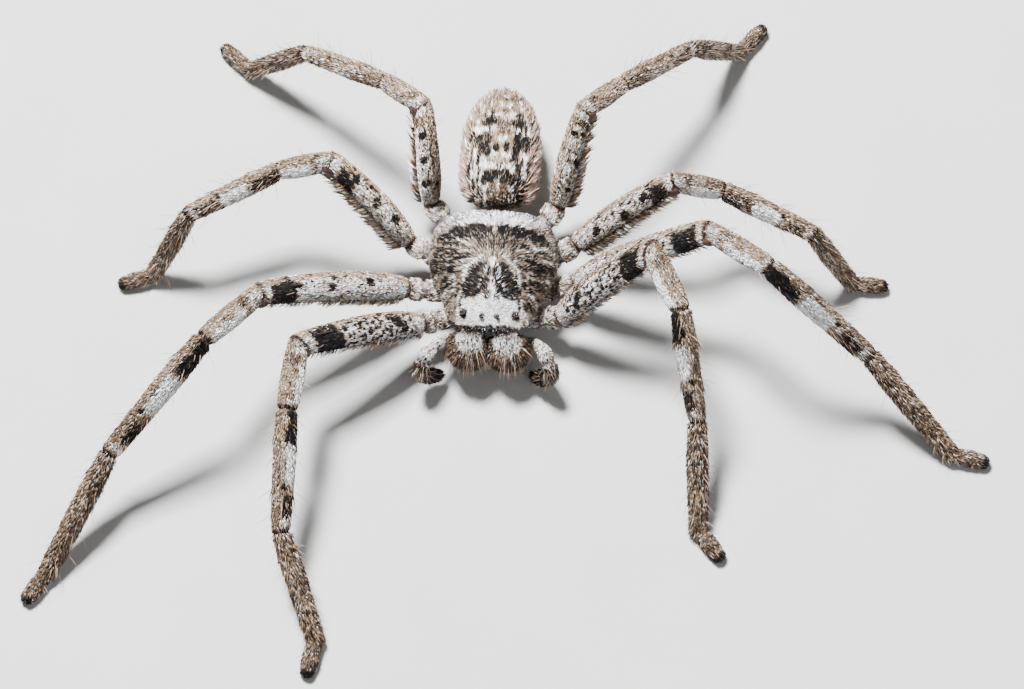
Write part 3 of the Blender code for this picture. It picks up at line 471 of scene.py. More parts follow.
def specks(x, y, radius, seed):
    """Round dots, one in each unit cell at a random place and of a random size, 1 inside and 0 outside."""
    table = np.random.default_rng(seed).random((3, 64, 64))
    i, j = np.floor(x).astype(int), np.floor(y).astype(int)
    near = np.full(np.shape(x), 9.0)
    for a, b in np.ndindex(3, 3):
        p, q, size = table[:, (i + a - 1) % 64, (j + b - 1) % 64]
        away = np.hypot(i + a - 0.8 + 0.6 * p - x, j + b - 0.8 + 0.6 * q - y)
        near = np.minimum(near, away / (0.6 + 0.8 * size))
    return fade(0.75 * radius, 1.25 * radius, near)


def jaw_marks(point):
    """Marks of the jaws: white above with grey and black streaks, orange-brown lower down and outside, then
    dark lowest down, which is partly painted shade; a painted shadow along the very top under the shield's
    rim;
    and brown down the gap between them, darkened there by painted shade."""
    x, y, z = in_millimetres(point)
    wide = np.abs(x)
    fleck = mottle(x * 3.2 + 5.0, z * 2.2 + 5.0, 8)
    fine = mottle(x * 6.0 + 3.0, z * 3.0, 9)
    low = fade(6.4, 7.5, z + 0.9 * (fine - 0.5) - 0.35 * np.maximum(wide - 3.0, 0.0))
    # Dark on the lower jaws: their dark brown hair, deepened by painted shade.
    under = fade(4.4, 6.2, z + 0.8 * (fleck - 0.5))
    # Brown hair down the gap between the jaws, darkened by painted shade there.
    inner = fade(0.35, 0.85, wide)
    outer = ease(3.7, 4.5, wide)
    # Painted shadow along the very top of the jaws, under the shield's rim.
    top = ease(8.15, 8.4, z)
    dots = specks(x * 1.8 + 9.0, z * 1.6, 0.22, 16)
    dark = either(0.9 * dots * (1.0 - 0.5 * low), 0.6 * ease(0.55, 0.7, fine), 0.5 * low * fine, 0.9 * under,
                  0.35 * outer, 0.45 * inner, 0.8 * top)
    white = 0.92 * (1.0 - low) * (1.0 - inner) * (1.0 - 0.8 * outer) * ease(0.1, 0.4, fleck) * (1.0 - top)
    return dark, white, np.clip(either(0.80 * low + 0.2 * fine, 0.8 * inner, 0.75 * outer), 0.0, 1.0)


JAW_STATIONS = np.concatenate([[-0.92, -0.6, -0.3], np.linspace(0.0, 7.0, 50)])
JAWS = {sign: Shell(jaw(sign), JAW_STATIONS, 64) for sign in (1.0, -1.0)}
SKINS += [(JAWS[sign], jaw_marks(JAWS[sign].points)) for sign in JAWS]


# The palps are two short jointed feelers beside the jaws, bent down at the knee. They are white with black
# specks as far as the knee, and end in a dark brown brush that turns in under the jaws.

# Left and right: the place of the middle and the radius
PALP_ROWS = {
    1.0: ((0.0019, -0.0066, 0.0038, 0.00055), (0.0043, -0.0073, 0.0041, 0.00048),
          (0.0055, -0.0080, 0.0049, 0.00055), (0.0060, -0.0087, 0.0056, 0.00080),
          (0.0068, -0.0099, 0.0063, 0.00115), (0.0072, -0.0108, 0.0065, 0.00125),
          (0.0077, -0.0117, 0.0061, 0.00120), (0.0079, -0.0122, 0.0053, 0.00100),
          (0.0078, -0.0122, 0.0046, 0.00105), (0.0076, -0.0121, 0.0038, 0.00105),
          (0.0071, -0.0119, 0.0030, 0.00105), (0.0064, -0.0116, 0.0024, 0.00085),
          (0.0058, -0.0113, 0.0021, 0.00040)),
    -1.0: ((-0.0019, -0.0066, 0.0038, 0.00055), (-0.0043, -0.0073, 0.0041, 0.00048),
           (-0.0055, -0.0080, 0.0049, 0.00055), (-0.0061, -0.0090, 0.0056, 0.00080),
           (-0.0071, -0.0106, 0.0064, 0.00115), (-0.0075, -0.0115, 0.0066, 0.00125),
           (-0.0079, -0.0124, 0.0062, 0.00120), (-0.0081, -0.0129, 0.0054, 0.00100),
           (-0.0080, -0.0129, 0.0047, 0.00105), (-0.0077, -0.0127, 0.0039, 0.00105),
           (-0.0072, -0.0125, 0.0031, 0.00105), (-0.0065, -0.0122, 0.0025, 0.00085),
           (-0.0059, -0.0119, 0.0022, 0.00040))}
PALP_KNEE = 5.55
PALP_INSET = 0.00050
KNEE_PINCH = 0.18


def heading(rows, u):
    """The direction of a curve through the rows, whose first three values are its place."""
    return unit(through(rows, u + 0.05)[..., :3] - through(rows, u - 0.05)[..., :3])


def palp(rows):
    """A round tube on a curve through the rows, u counted in rows, pinched at the knee."""
    def place(u, v):
        row = through(rows, u)
        along = heading(rows, u)
        side = unit(np.cross(along, (0.35, -0.9, 0.1)))
        up = np.cross(side, along)
        size = (row[..., 3] - np.minimum(PALP_INSET, 0.3 * row[..., 3])) * (
            1.0 - KNEE_PINCH * np.exp(-((u - PALP_KNEE) / 0.28) ** 2))
        return row[..., :3] + size[..., None] * ring(v, side, up) + BODY_AT
    return place


def about(value, at, half):
    """1 within about half of one place along a line, with a soft edge."""
    return spot(value, 0.0, (at, 0.0), (half, 1.0))


def palp_marks(u, v):
    """Marks of a palp: white with black specks to the knee, a dark joint line, dark brown beyond."""
    fleck = mottle(u * 2.4 + 7.0, v * 9.0, 10)
    dots = specks(u * 2.6, v * 10.0, 0.24, 17)
    past = ease(5.5, 6.0, u)
    joint = about(u, PALP_KNEE, 0.14)
    tip = ease(7.0, 9.0, u)
    edge = band((v + 0.1) % 1.0, 0.45, 0.7, 0.08)
    dark = either(0.95 * dots * (1.0 - past), joint, 0.45 * past + 0.30 * tip + 0.25 * past * fleck)
    white = either((1.0 - past) * 0.70 * (1.0 - 0.7 * edge), 0.16 * past * (1.0 - tip))
    brown = either(0.55 * edge, 0.35 + 0.0 * u, 0.75 * past + 0.15 * tip)
    return dark, white, np.clip(brown, 0.0, 1.0)


PALPS = {sign: Shell(palp(rows), np.linspace(0.0, 12.0, 60), 28) for sign, rows in PALP_ROWS.items()}


def with_ends(shell, marks):
    """Values read on a shell's grid, as one list with its two end points added."""
    grids = marks(shell.u, shell.v)
    return tuple(np.concatenate([grid.ravel(), grid[0, :1], grid[-1, :1]]) for grid in grids)


SKINS += [(PALPS[sign], with_ends(PALPS[sign], palp_marks)) for sign in PALPS]


# Each leg has seven pieces in line, hinged by soft skin: a short hip piece and its collar, the thigh, the
# knee piece, the shin, the foot and the toe. The pose is the resting one, all feet flat on the floor.

LEG_LENGTHS = {1: (0.0054, 0.0182, 0.0086, 0.0148, 0.0137, 0.0047),
               2: (0.0064, 0.0214, 0.0098, 0.0185, 0.0166, 0.0045),
               3: (0.0073, 0.0164, 0.0075, 0.0123, 0.0119, 0.0043),
               4: (0.0078, 0.0150, 0.0066, 0.0135, 0.0129, 0.0050)}
LEG_HALF_WIDTHS = {1: (0.00140, 0.00195, 0.00158, 0.00142, 0.00122, 0.00105),
                   2: (0.00140, 0.00200, 0.00155, 0.00148, 0.00125, 0.00105),
                   3: (0.00138, 0.00172, 0.00148, 0.00132, 0.00112, 0.00100),
                   4: (0.00138, 0.00162, 0.00142, 0.00126, 0.00110, 0.00100)}
LEG_ROOTS = {1: (0.0033, -0.0046), 2: (0.0041, -0.0017), 3: (0.0041, 0.0012), 4: (0.0033, 0.0041)}
LEG_ROOT_Z, ANKLE_Z, TOE_Z = 0.0043, 0.00115, 0.00082
# Bearing of each of the six lengths, and rise of the first four, in degrees
LEG_POSE = {(-1.0, 1): ((-158.5, -152.5, -94.5, -90.0, -67.0, -99.5), (11.5, 26.0, 1.5, -25.5)),
            (-1.0, 2): ((-178.5, -159.0, -128.0, -133.5, -118.5, -122.0), (8.0, 29.5, 14.5, -30.0)),
            (-1.0, 3): ((153.0, 155.5, 178.0, -154.0, -142.0, -161.0), (7.5, 49.5, -29.5, -12.5)),
            (-1.0, 4): ((129.5, 101.0, 141.5, 148.5, 162.0, 139.0), (7.0, 63.0, -15.5, -24.5)),
            (1.0, 1): ((-1.5, 14.0, -64.5, -73.5, -85.5, -50.5), (10.0, 52.0, 4.0, -48.0)),
            (1.0, 2): ((15.5, 4.5, -39.0, -22.5, -38.0, -9.5), (8.5, 41.0, 18.0, -41.0)),
            (1.0, 3): ((35.0, 18.5, 11.5, -23.5, -15.5, 0.0), (7.5, 42.5, -32.5, -3.5)),
            (1.0, 4): ((57.0, 68.5, 45.0, 46.0, 40.5, 52.5), (7.0, 61.5, -10.5, -26.5))}
# Section along each length: (share of the length, share of the half width)
LEG_SECTIONS = (((0.0, 0.80), (0.10, 0.93), (0.45, 1.08), (0.62, 1.00), (0.68, 0.80), (0.74, 1.04),
                 (0.88, 1.12), (1.0, 0.84)),
                ((0.0, 0.70), (0.06, 0.84), (0.22, 1.00), (0.45, 1.03), (0.70, 0.96), (0.90, 0.88),
                 (0.97, 0.82), (1.0, 0.70)),
                ((0.0, 0.76), (0.08, 0.92), (0.50, 1.04), (0.90, 0.94), (1.0, 0.76)),
                ((0.0, 0.78), (0.06, 0.94), (0.30, 1.06), (0.60, 1.00), (0.92, 0.90), (1.0, 0.74)),
                ((0.0, 0.76), (0.06, 0.92), (0.35, 1.06), (0.75, 0.98), (1.0, 0.90)),
                ((0.0, 0.98), (0.15, 1.02), (0.55, 1.08), (0.84, 0.96), (0.95, 0.74), (1.0, 0.42)))
LEG_TALL = np.array((0.84, 1.06, 1.0, 1.0, 1.0, 1.0))
LEG_ARCH = np.array((0.0, 0.05, 0.0, 0.0, 0.0, 0.0))
FLOOR_GAP = 0.00012
# Black spots of each thigh: share of its length, angle in degrees, half size in millimetres
LEG_SPOTS = {
    (-1.0, 1): ((0.28, 75, 0.50), (0.225, 42, 0.45), (0.34, 55, 0.25), (0.483, 135, 0.22),
                (0.573, 81, 0.25), (0.517, 54, 0.26), (0.651, 42, 0.20), (0.562, 27, 0.20),
                (0.416, 39, 0.22), (0.629, 108, 0.22), (0.696, 78, 0.24), (0.416, 72, 0.24),
                (0.427, 102, 0.25), (0.349, 27, 0.22), (0.315, 144, 0.22), (0.192, 144, 0.2),
                (0.5, 110, 0.2), (0.46, 88, 0.2), (0.6, 60, 0.18), (0.38, 120, 0.22), (0.55, 125, 0.2),
                (0.3, 110, 0.25), (0.47, 15, 0.18), (0.66, 10, 0.18)),
    (1.0, 1): ((0.337, 63, 0.42), (0.304, 45, 0.38), (0.607, 36, 0.24), (0.741, 75, 0.24),
               (0.685, 60, 0.24), (0.595, 90, 0.24), (0.607, 63, 0.22), (0.472, 42, 0.26),
               (0.461, 9, 0.22), (0.562, -20, 0.2), (0.438, 60, 0.24), (0.539, 140, 0.2),
               (0.651, 140, 0.2), (0.39, 25, 0.22), (0.52, 60, 0.2), (0.52, 20, 0.22), (0.67, 20, 0.22),
               (0.41, 95, 0.2), (0.35, 110, 0.22), (0.5, 110, 0.22), (0.7, 100, 0.22), (0.25, 85, 0.22),
               (0.73, 35, 0.22), (0.2, 55, 0.2)),
    (-1.0, 2): ((0.584, 63, 0.38), (0.315, 75, 0.42), (0.349, 117, 0.25), (0.539, 84, 0.2),
                (0.629, 81, 0.18), (0.707, 90, 0.2), (0.685, 123, 0.22), (0.842, 126, 0.3),
                (0.80, 78, 0.34), (0.248, 78, 0.18), (0.18, 57, 0.18), (0.483, 102, 0.2),
                (0.674, 18, 0.15), (0.764, 51, 0.15), (0.517, 15, 0.18), (0.393, -12, 0.14),
                (0.539, -6, 0.14), (0.44, 60, 0.12)),
    (1.0, 2): ((0.60, 50, 0.4), (0.35, 50, 0.4), (0.74, 62, 0.3), (0.7, 85, 0.2), (0.5, 80, 0.2),
               (0.45, 30, 0.15), (0.25, 70, 0.2), (0.15, 40, 0.15), (0.66, 30, 0.16), (0.42, 95, 0.2),
               (0.58, 105, 0.2)),
    (-1.0, 3): ((0.752, 81, 0.42), (0.506, 69, 0.42), (0.27, 75, 0.42), (0.797, 117, 0.2),
                (0.607, 99, 0.2), (0.64, 80, 0.18), (0.42, 110, 0.16), (0.34, 105, 0.16),
                (0.56, 40, 0.14), (0.2, 50, 0.12), (0.68, 110, 0.18)),
    (1.0, 3): ((0.259, 48, 0.42), (0.539, 36, 0.42), (0.741, 57, 0.42), (0.28, 80, 0.2), (0.45, 78, 0.2),
               (0.38, 70, 0.14), (0.62, 75, 0.2), (0.66, 60, 0.18), (0.82, 40, 0.3), (0.82, 72, 0.3),
               (0.55, 90, 0.18)),
    (-1.0, 4): ((0.27, 66, 0.4), (0.225, 123, 0.28), (0.517, 63, 0.38), (0.752, 66, 0.38),
                (0.752, 12, 0.22), (0.4, 85, 0.15), (0.62, 95, 0.15), (0.45, 110, 0.15), (0.34, 30, 0.12),
                (0.65, 45, 0.15), (0.60, 75, 0.14)),
    (1.0, 4): ((0.248, 39, 0.32), (0.539, 24, 0.42), (0.786, 84, 0.34), (0.82, 33, 0.28),
               (0.629, 87, 0.2), (0.225, 90, 0.22), (0.4, 70, 0.15), (0.7, 55, 0.18), (0.33, 60, 0.12),
               (0.62, 50, 0.14), (0.48, 60, 0.14))}
# Black cuff of each thigh: the shares it lies between, the angle it reaches over the top, and its strength
LEG_CUFFS = {(-1.0, 1): (0.73, 0.93, 120.0, 1.0), (1.0, 1): (0.79, 0.95, 125.0, 1.0),
             (-1.0, 2): (0.81, 0.965, 100.0, 1.0), (1.0, 2): (0.80, 0.955, 105.0, 1.0),
             (-1.0, 3): (0.74, 0.915, 62.0, 0.95), (1.0, 3): (0.80, 0.935, 78.0, 0.9),
             (-1.0, 4): (0.84, 0.925, 52.0, 0.7), (1.0, 4): (0.86, 0.935, 100.0, 0.65)}


# By pair: strength of the thigh's white, the knee's pale stripe, the shin's dark and pale bands, and how much
# darker the foot is, then where the thigh's dots begin and their size
THIGH_WHITE, KNEE_STRIPE = (0.70, 0.70, 0.55, 0.50), (1.0, 1.0, 1.0, 0.25)
SHIN_DARK, SHIN_PALE = (1.0, 1.0, 0.60, 0.30), (1.0, 1.0, 1.0, 0.25)
FOOT_DULL = (0.0, 0.0, 0.06, 0.14)
DOTS_FROM, DOT_SIZE = (0.12, 0.05, 0.05, 0.05), (0.30, 0.15, 0.15, 0.15)


def leg_joints(sign, pair):
    """The seven points of a leg from root to toe, each a length on from the last at its bearing and rise."""
    bearings, rises = LEG_POSE[sign, pair]
    points = [np.array((sign * LEG_ROOTS[pair][0], LEG_ROOTS[pair][1], LEG_ROOT_Z))]
    for k, (bearing, length) in enumerate(zip(np.radians(bearings), LEG_LENGTHS[pair])):
        if k < 4:
            rise = np.radians(rises[k])
        else:
            rise = np.arcsin(((ANKLE_Z, TOE_Z)[k - 4] - points[-1][2]) / length)
        flat = np.cos(rise)
        step = np.array((np.cos(bearing) * flat, np.sin(bearing) * flat, np.sin(rise)))
        points.append(points[-1] + length * step)
    return np.array(points)


def leg_widths():
    """Shares of the half width as one table over the stations 0 to 6, stepped from one length to the next."""
    tables = []
    for k, section in enumerate(LEG_SECTIONS):
        rows = through(section, np.linspace(0.0, len(section) - 1.0, 60))
        tables.append(rows * (1.0 - 2e-4, 1.0) + (k + 1e-4, 0.0))
    return np.concatenate(tables).T


def leg(sign, pair):
    """One leg: u is the station, 0 to 6, one for each length, and v goes round from the side over the top.
    A ring is skewed from the plane midway between two lengths at one joint to that at the next."""
    joints = leg_joints(sign, pair)
    lengths = np.linalg.norm(np.diff(joints, axis=0), axis=1)
    along = unit(np.diff(joints, axis=0))
    side = unit(np.cross(along, (0.0, 0.0, 1.0)))
    up = np.cross(side, along)
    root_normal = np.array((joints[0, 0] / PLATE_HALF_WIDTH ** 2, joints[0, 1] / PLATE_HALF_LENGTH ** 2, 0.0))
    mitres = unit(np.concatenate([[unit(root_normal)], along[:-1] + along[1:], along[-1:]]))
    half_widths = np.array(LEG_HALF_WIDTHS[pair])
    stations, shares = leg_widths()

    def place(u, v):
        k = np.clip(u.astype(int), 0, 5)
        s = (u - k)[..., None]
        size = (half_widths[k] * np.interp(u, stations, shares) - COAT_DEPTH)[..., None]
        turn = 2.0 * np.pi * v[..., None]
        out = size * (np.cos(turn) * side[k] + LEG_TALL[k][..., None] * np.sin(turn) * up[k])
        ahead, before, after = along[k], mitres[k], mitres[k + 1]
        near = -np.sum(out * before, -1, keepdims=True) / np.sum(ahead * before, -1, keepdims=True)
        far = -np.sum(out * after, -1, keepdims=True) / np.sum(ahead * after, -1, keepdims=True)
        reach = near + (lengths[k][..., None] + far - near) * s
        bow = (LEG_ARCH[k] * lengths[k])[..., None] * 4.0 * s * (1.0 - s)
        point = joints[k] + out + reach * ahead + bow * up[k] + BODY_AT
        return np.concatenate([point[..., :2], np.maximum(point[..., 2:], FLOOR_GAP)], -1)
    return place


def facing(sign, v):
    """The angle round a leg in degrees: 0 faces the head, 90 is up, 180 the rear and -90 down."""
    angle = 360.0 * v if sign > 0 else 180.0 - 360.0 * v
    return (angle + 90.0) % 360.0 - 90.0


def wide_spots(spots):
    """The spots as they are drawn, up to a half wider, because hairs from beside a spot cover its edge."""
    return [(at, side, size * (1.3 + 1.6 * (size - 0.2))) for at, side, size in spots]


def leg_marks(sign, pair, u, v):
    """Marks of a leg by station and by the angle round it: 0 degrees faces the head, 90 up and 180 the rear.
    A spot is an oval on the skin, its half size in millimetres shared out along the leg and round it."""
    k = np.clip(u.astype(int), 0, 5)
    s = u - k
    angle = facing(sign, v)
    grain = 10.0 * pair + 4.0 * sign
    fleck = mottle(u * 18.0 + grain, v * 13.0 + 20.0, 11)
    fine = mottle(u * 22.0 + grain, v * 34.0 + 3.0, 12)
    blotch = mottle(u * 9.0 + grain, v * 6.0, 13)
    thigh, thick = LEG_LENGTHS[pair][1], LEG_HALF_WIDTHS[pair][1] / MM
    out, round_at = s * thigh / MM + 7.0 * pair, np.radians(angle) * thick + 20.0 + 5.0 * sign
    dots = specks(out * 1.25, round_at * 1.25, DOT_SIZE[pair - 1], 18)
    ticks = specks(out * 0.9, round_at * 2.2, 0.16, 19)
    s_seen, angle_seen = s + 0.018 * (fine - 0.5), angle + 14.0 * (fleck - 0.5)
    face = ease(-22.0, 2.0, angle) * fade(84.0, 116.0, angle + 20.0 * (fine - 0.5))
    rear = ease(104.0, 132.0, angle) * fade(195.0, 230.0, angle)
    under = 1.0 - ease(-45.0, -15.0, angle) * fade(190.0, 215.0, angle)

    hip_dark = either(0.45 * ease(0.50, 0.7, fleck), 0.6 * band(s, 0.56, 0.60, 0.02),
                      0.7 * ease(0.95, 0.99, s))
    hip_white = 0.50 + 0.5 * (fine - 0.5)
    hip_brown = either(0.30 + 0.4 * blotch, 0.8 * band(s, 0.58, 0.68, 0.03), 0.8 * ease(0.93, 0.98, s))

    start, end, turned, strength = LEG_CUFFS[sign, pair]
    cuff = strength * band(s_seen, start, end, 0.012)
    cuff = cuff * fade(turned - 12.0, turned + 12.0, angle + 30.0 * (fleck - 0.5))
    spots = either(*(spot(s_seen, angle_seen, (at, side), (size * MM / thigh, np.degrees(size / thick)),
                          soft=0.25) for at, side, size in wide_spots(LEG_SPOTS[sign, pair])))
    thigh_dark = either(spots, cuff, 0.7 * ease(0.986, 0.996, s),
                        0.95 * dots * band(s, DOTS_FROM[pair - 1], 0.95, 0.05) * ease(-30.0, 0.0, angle),
                        (0.9 - 0.5 * face) * ticks * band(s, 0.05, 0.95, 0.05))
    thigh_white = either(face * band(s, 0.03, start, 0.03) * (THIGH_WHITE[pair - 1] + 0.8 * (fine - 0.5)),
                         0.7 * ease(end - 0.01, end + 0.02, s) * face, 0.35 * rear * ease(0.5, 0.7, fleck))
    thigh_brown = either(0.34 + 0.34 * blotch, 0.60 * rear, 0.60 * fade(-30.0, 5.0, angle), 0.8 * cuff,
                         0.85 * fade(0.0, 0.05, s), 0.45 * ease(end, end + 0.02, s))

    stripe = band(s, 0.36, 0.95, 0.03) * ease(-45.0, -25.0, angle)
    stripe = stripe * fade(48.0, 66.0, angle + 20.0 * (fleck - 0.5)) * KNEE_STRIPE[pair - 1]
    blot = spot(s, angle / 180.0, (0.33, 0.50), (0.10, 0.17))
    knee_dark = either(0.8 * either(ticks, 0.6 * dots) * (1.0 - stripe), 0.8 * fade(0.005, 0.02, s),
                       0.7 * ease(0.985, 0.995, s), 0.35 * blot)
    pale_flecks = 0.35 * ease(0.5, 0.7, 1.0 - fleck) * face
    knee_white = either(stripe, 0.55 * band(s, 0.02, 0.26, 0.05) * face, pale_flecks)
    knee_brown = either(0.42 + 0.30 * blotch, 0.9 * blot, 0.5 * rear)

    inner = ease(-60.0, -35.0, angle) * fade(68.0, 92.0, angle + 30.0 * (fleck - 0.5))
    bands = SHIN_DARK[pair - 1]
    shin_dark = either(bands * inner * band(s_seen, 0.015, 0.31, 0.03), 0.7 * ease(0.985, 0.995, s),
                       0.85 * bands * inner * band(s_seen, 0.73, 0.90, 0.03), 0.6 * fade(0.003, 0.012, s),
                       0.8 * ticks * (1.0 - 0.7 * inner * band(s, 0.34, 0.64, 0.03)),
                       spot(s, angle / 180.0, (0.655, 0.45), (0.025, 0.10)))
    pale_band = SHIN_PALE[pair - 1] * band(s_seen, 0.34, 0.64, 0.03) * ease(-40.0, -15.0, angle)
    shin_white = either(pale_band * fade(70.0, 105.0, angle), 0.6 * band(s, 0.92, 0.975, 0.012) * face,
                        pale_flecks)
    shin_brown = either(0.50 + 0.30 * blotch, 0.58 * rear, 0.65 * band(s, 0.66, 0.92, 0.03))

    dull = 0.22 + FOOT_DULL[pair - 1] + 0.0 * s
    foot_dark = either(0.6 * ticks, 0.7 * fade(0.0, 0.015, s), dull)
    foot_white = 0.20 * face * (1.0 - 0.9 * s)
    toe_dark = either(0.35 * ease(0.5, 0.7, fine), dull, 0.9 * ease(0.82, 0.95, s))

    dark = np.choose(k, (hip_dark, thigh_dark, knee_dark, shin_dark, foot_dark, toe_dark))
    white = np.choose(k, (hip_white, thigh_white, knee_white, shin_white, foot_white, 0.0 * face))
    white = white * (1.0 - 0.7 * under) * (1.0 - 0.9 * dark)
    brown = np.choose(k, (hip_brown, thigh_brown, knee_brown, shin_brown, 0.58 + 0.30 * blotch,
                          0.66 + 0.25 * blotch))
    return dark, np.clip(white, 0.0, 1.0), np.clip(either(brown, 0.6 * under), 0.0, 1.0)


def leg_stations():
    """Rings for the skin, closer together near each joint, and closest on the thigh, with its fine marks."""
    stations = []
    for k, count in enumerate((14, 60, 20, 34, 20, 14)):
        share = np.linspace(0.0, 1.0, count)
        stations.append(k + np.clip(share - 0.05 * np.sin(2.0 * np.pi * share), 2e-4, 1.0 - 2e-4))
    return np.concatenate(stations)


LEGS = {(sign, pair): Shell(leg(sign, pair), leg_stations(), 44, jointed=True) for sign, pair in LEG_POSE}


def leg_bare(sign, u, v):
    """Where a leg has no hair: its hinges, widest on the head-facing side of the knee and of the collar."""
    angle = facing(sign, v)
    inside = ease(-85.0, -60.0, angle) * fade(25.0, 45.0, angle)
    front = ease(-85.0, -60.0, angle) * fade(65.0, 95.0, angle)
    return either(about(u, 2.005, 0.042) * inside, about(u, 0.655, 0.05) * front,
                  about(u, 1.0, 0.022) * front, about(u, 0.60, 0.02),
                  *(about(u, at, 0.008) for at in (0.99, 2.0, 3.0, 4.0)))


for (sign, pair), shell in LEGS.items():
    marks = with_ends(shell, lambda u, v: (*leg_marks(sign, pair, u, v), leg_bare(sign, u, v)))
    SKINS.append((shell, marks))


# On the inner side of each knee the soft skin of the hinge shows as a smooth reddish-brown bulb. It is part
# of the skin, between the hard walls of the thigh and the knee piece.

BULB_SIZE = np.array((0.00115, 0.00080, 0.00085))
BULB_OUT, BULB_DOWN = 0.00098, 0.00050


def knee_bulb(sign, pair):
    """An oval ball at the hinge of thigh and knee, set out to the head's side and a little down."""
    joints = leg_joints(sign, pair)
    along = unit(unit(joints[2] - joints[1]) + unit(joints[3] - joints[2]))
    side = unit(np.cross(along, (0.0, 0.0, 1.0))) * sign
    up = np.cross(along, side)
    up = up * np.sign(up[2])
    wide = LEG_HALF_WIDTHS[pair][2] / 0.00158
    middle = joints[2] + wide * (BULB_OUT * side - BULB_DOWN * up) + BODY_AT

    def place(u, v):
        rise, turn = np.pi * (u[..., None] - 0.5), 2.0 * np.pi * v[..., None]
        level = BULB_SIZE[0] * np.cos(turn) * along + BULB_SIZE[1] * np.sin(turn) * side
        return middle + wide * (np.cos(rise) * level + BULB_SIZE[2] * np.sin(rise) * up)
    return place


# The skin is all one: thin, a little glossy, tan to dark brown, and bare only at the joints and under the rim
# of the head shield. The forms above are fused into one closed body here.

FLESH = (["carapace", "sternum", "abdomen", "spinnerets", "chelicera_left", "chelicera_right"]
         + [f"palp_{side}_{part}" for side in ("left", "right") for part in ("upper", "lower")]
         + [f"leg_{side}_{pair}_{part}" for side in ("left", "right") for pair in (1, 2, 3, 4)
            for part in ("coxa", "femur", "patella", "tibia", "foot")])
PALE, TAN, BROWN = (0.60, 0.51, 0.40), (0.335, 0.228, 0.142), (0.085, 0.045, 0.026)
WHITE, DARK, BARE = (0.95, 0.955, 0.97), (0.006, 0.0055, 0.006), (0.060, 0.026, 0.019)
# How dark the skin is against the coat: partly its own duller colour, partly painted shade between the hairs.
SKIN_DULL_AND_PAINTED_SHADE = 0.30
FOLD_DARK = (0.012, 0.006, 0.005)


class Wire:
    """The output of a node, so that shading is written as sums: each sign adds a Math node."""

    def __init__(self, finish, socket):
        self.finish, self.socket = finish, socket

    def maths(self, operation, first, second):
        return self.finish.add("ShaderNodeMath", {"operation": operation}, {0: first, 1: second})

    def __add__(self, other):
        return self.maths("ADD", self, other)

    def __sub__(self, other):
        return self.maths("SUBTRACT", self, other)

    def __rsub__(self, other):
        return self.maths("SUBTRACT", other, self)

    def __mul__(self, other):
        return self.maths("MULTIPLY", self, other)

    __radd__ = __add__
    __rmul__ = __mul__


class Finish:
    """One material: add() puts in any node, its settings and then its sockets, and gives back its output."""

    def __init__(self, name, **constants):
        self.material = bpy.data.materials.new(name)
        self.material.use_nodes = True
        self.tree = self.material.node_tree
        self.shader = self.tree.nodes["Principled BSDF"]
        for socket, value in constants.items():
            self.shader.inputs[socket.replace("_", " ")].default_value = value

    def add(self, kind, settings=None, sockets=None, output=0):
        node = self.tree.nodes.new(kind)
        for key, value in (settings or {}).items():
            if key == "stops":
                for place, colour in value[1:-1]:
                    node.color_ramp.elements.new(place)
                for stop, (place, colour) in zip(node.color_ramp.elements, value):
                    stop.position, stop.color = place, (*colour, 1.0)
            else:
                setattr(node, key, value)
        for key, value in (sockets or {}).items():
            self.join(node.inputs[key], value)
        return Wire(self, node.outputs[output])

    def join(self, socket, value):
        if isinstance(value, Wire):
            self.tree.links.new(value.socket, socket)
        else:
            flat = isinstance(value, tuple) and socket.type == "RGBA"
            socket.default_value = (*value, 1.0) if flat else value

    def mask(self, name):
        return self.add("ShaderNodeAttribute", {"attribute_name": name}, output="Fac")

    def blend(self, share, first, second):
        return self.add("ShaderNodeMix", {"data_type": "RGBA"}, {0: share, 6: first, 7: second}, output=2)

    def scale(self, colour, by):
        return self.add("ShaderNodeVectorMath", {"operation": "SCALE"}, {0: colour, "Scale": by})

    def noise(self, scale, detail=3.0):
        where = self.add("ShaderNodeTexCoord", output="Object")
        sockets = {"Vector": where, "Scale": scale, "Detail": detail}
        return self.add("ShaderNodeTexNoise", None, sockets, output="Fac")

    def bump(self, height, strength, distance):
        sockets = {"Height": height, "Strength": strength, "Distance": distance}
        return self.add("ShaderNodeBump", None, sockets)

    def feed(self, **wires):
        for socket, value in wires.items():
            self.join(self.shader.inputs[socket.replace("_", " ")], value)
        return self.material


def coat_colour(finish, pale=PALE, tan=TAN, brown=BROWN, white=WHITE, dark=DARK):
    """The marks as colour: pale to tan to brown by the brown mask, then white and dark by their own."""
    stops = ((0.0, pale), (0.5, tan), (1.0, brown))
    colour = finish.add("ShaderNodeValToRGB", {"stops": stops}, {0: finish.mask("brown")})
    colour = finish.blend(finish.mask("white"), colour, white)
    return finish.blend(finish.mask("dark"), colour, dark)


def skin_finish():
    """Skin in the coat's colours, darker, partly as its own duller colour and partly as painted shade between
    the hairs, reddish brown where it is bare, with fine pores in its gloss.
    """
    finish = Finish("skin", Specular_IOR_Level=0.3)
    pores = finish.noise(9000.0)
    colour = finish.scale(coat_colour(finish), SKIN_DULL_AND_PAINTED_SHADE * (0.7 + 0.6 * pores))
    folds = 3.2 * finish.noise(1700.0, 5.0) - 1.1
    colour = finish.blend(finish.mask("bare"), colour, finish.blend(folds, FOLD_DARK, BARE))
    return finish.feed(Base_Color=colour, Roughness=0.42 + 0.3 * pores,
                       Normal=finish.bump(pores + folds, 0.6, 0.0001))


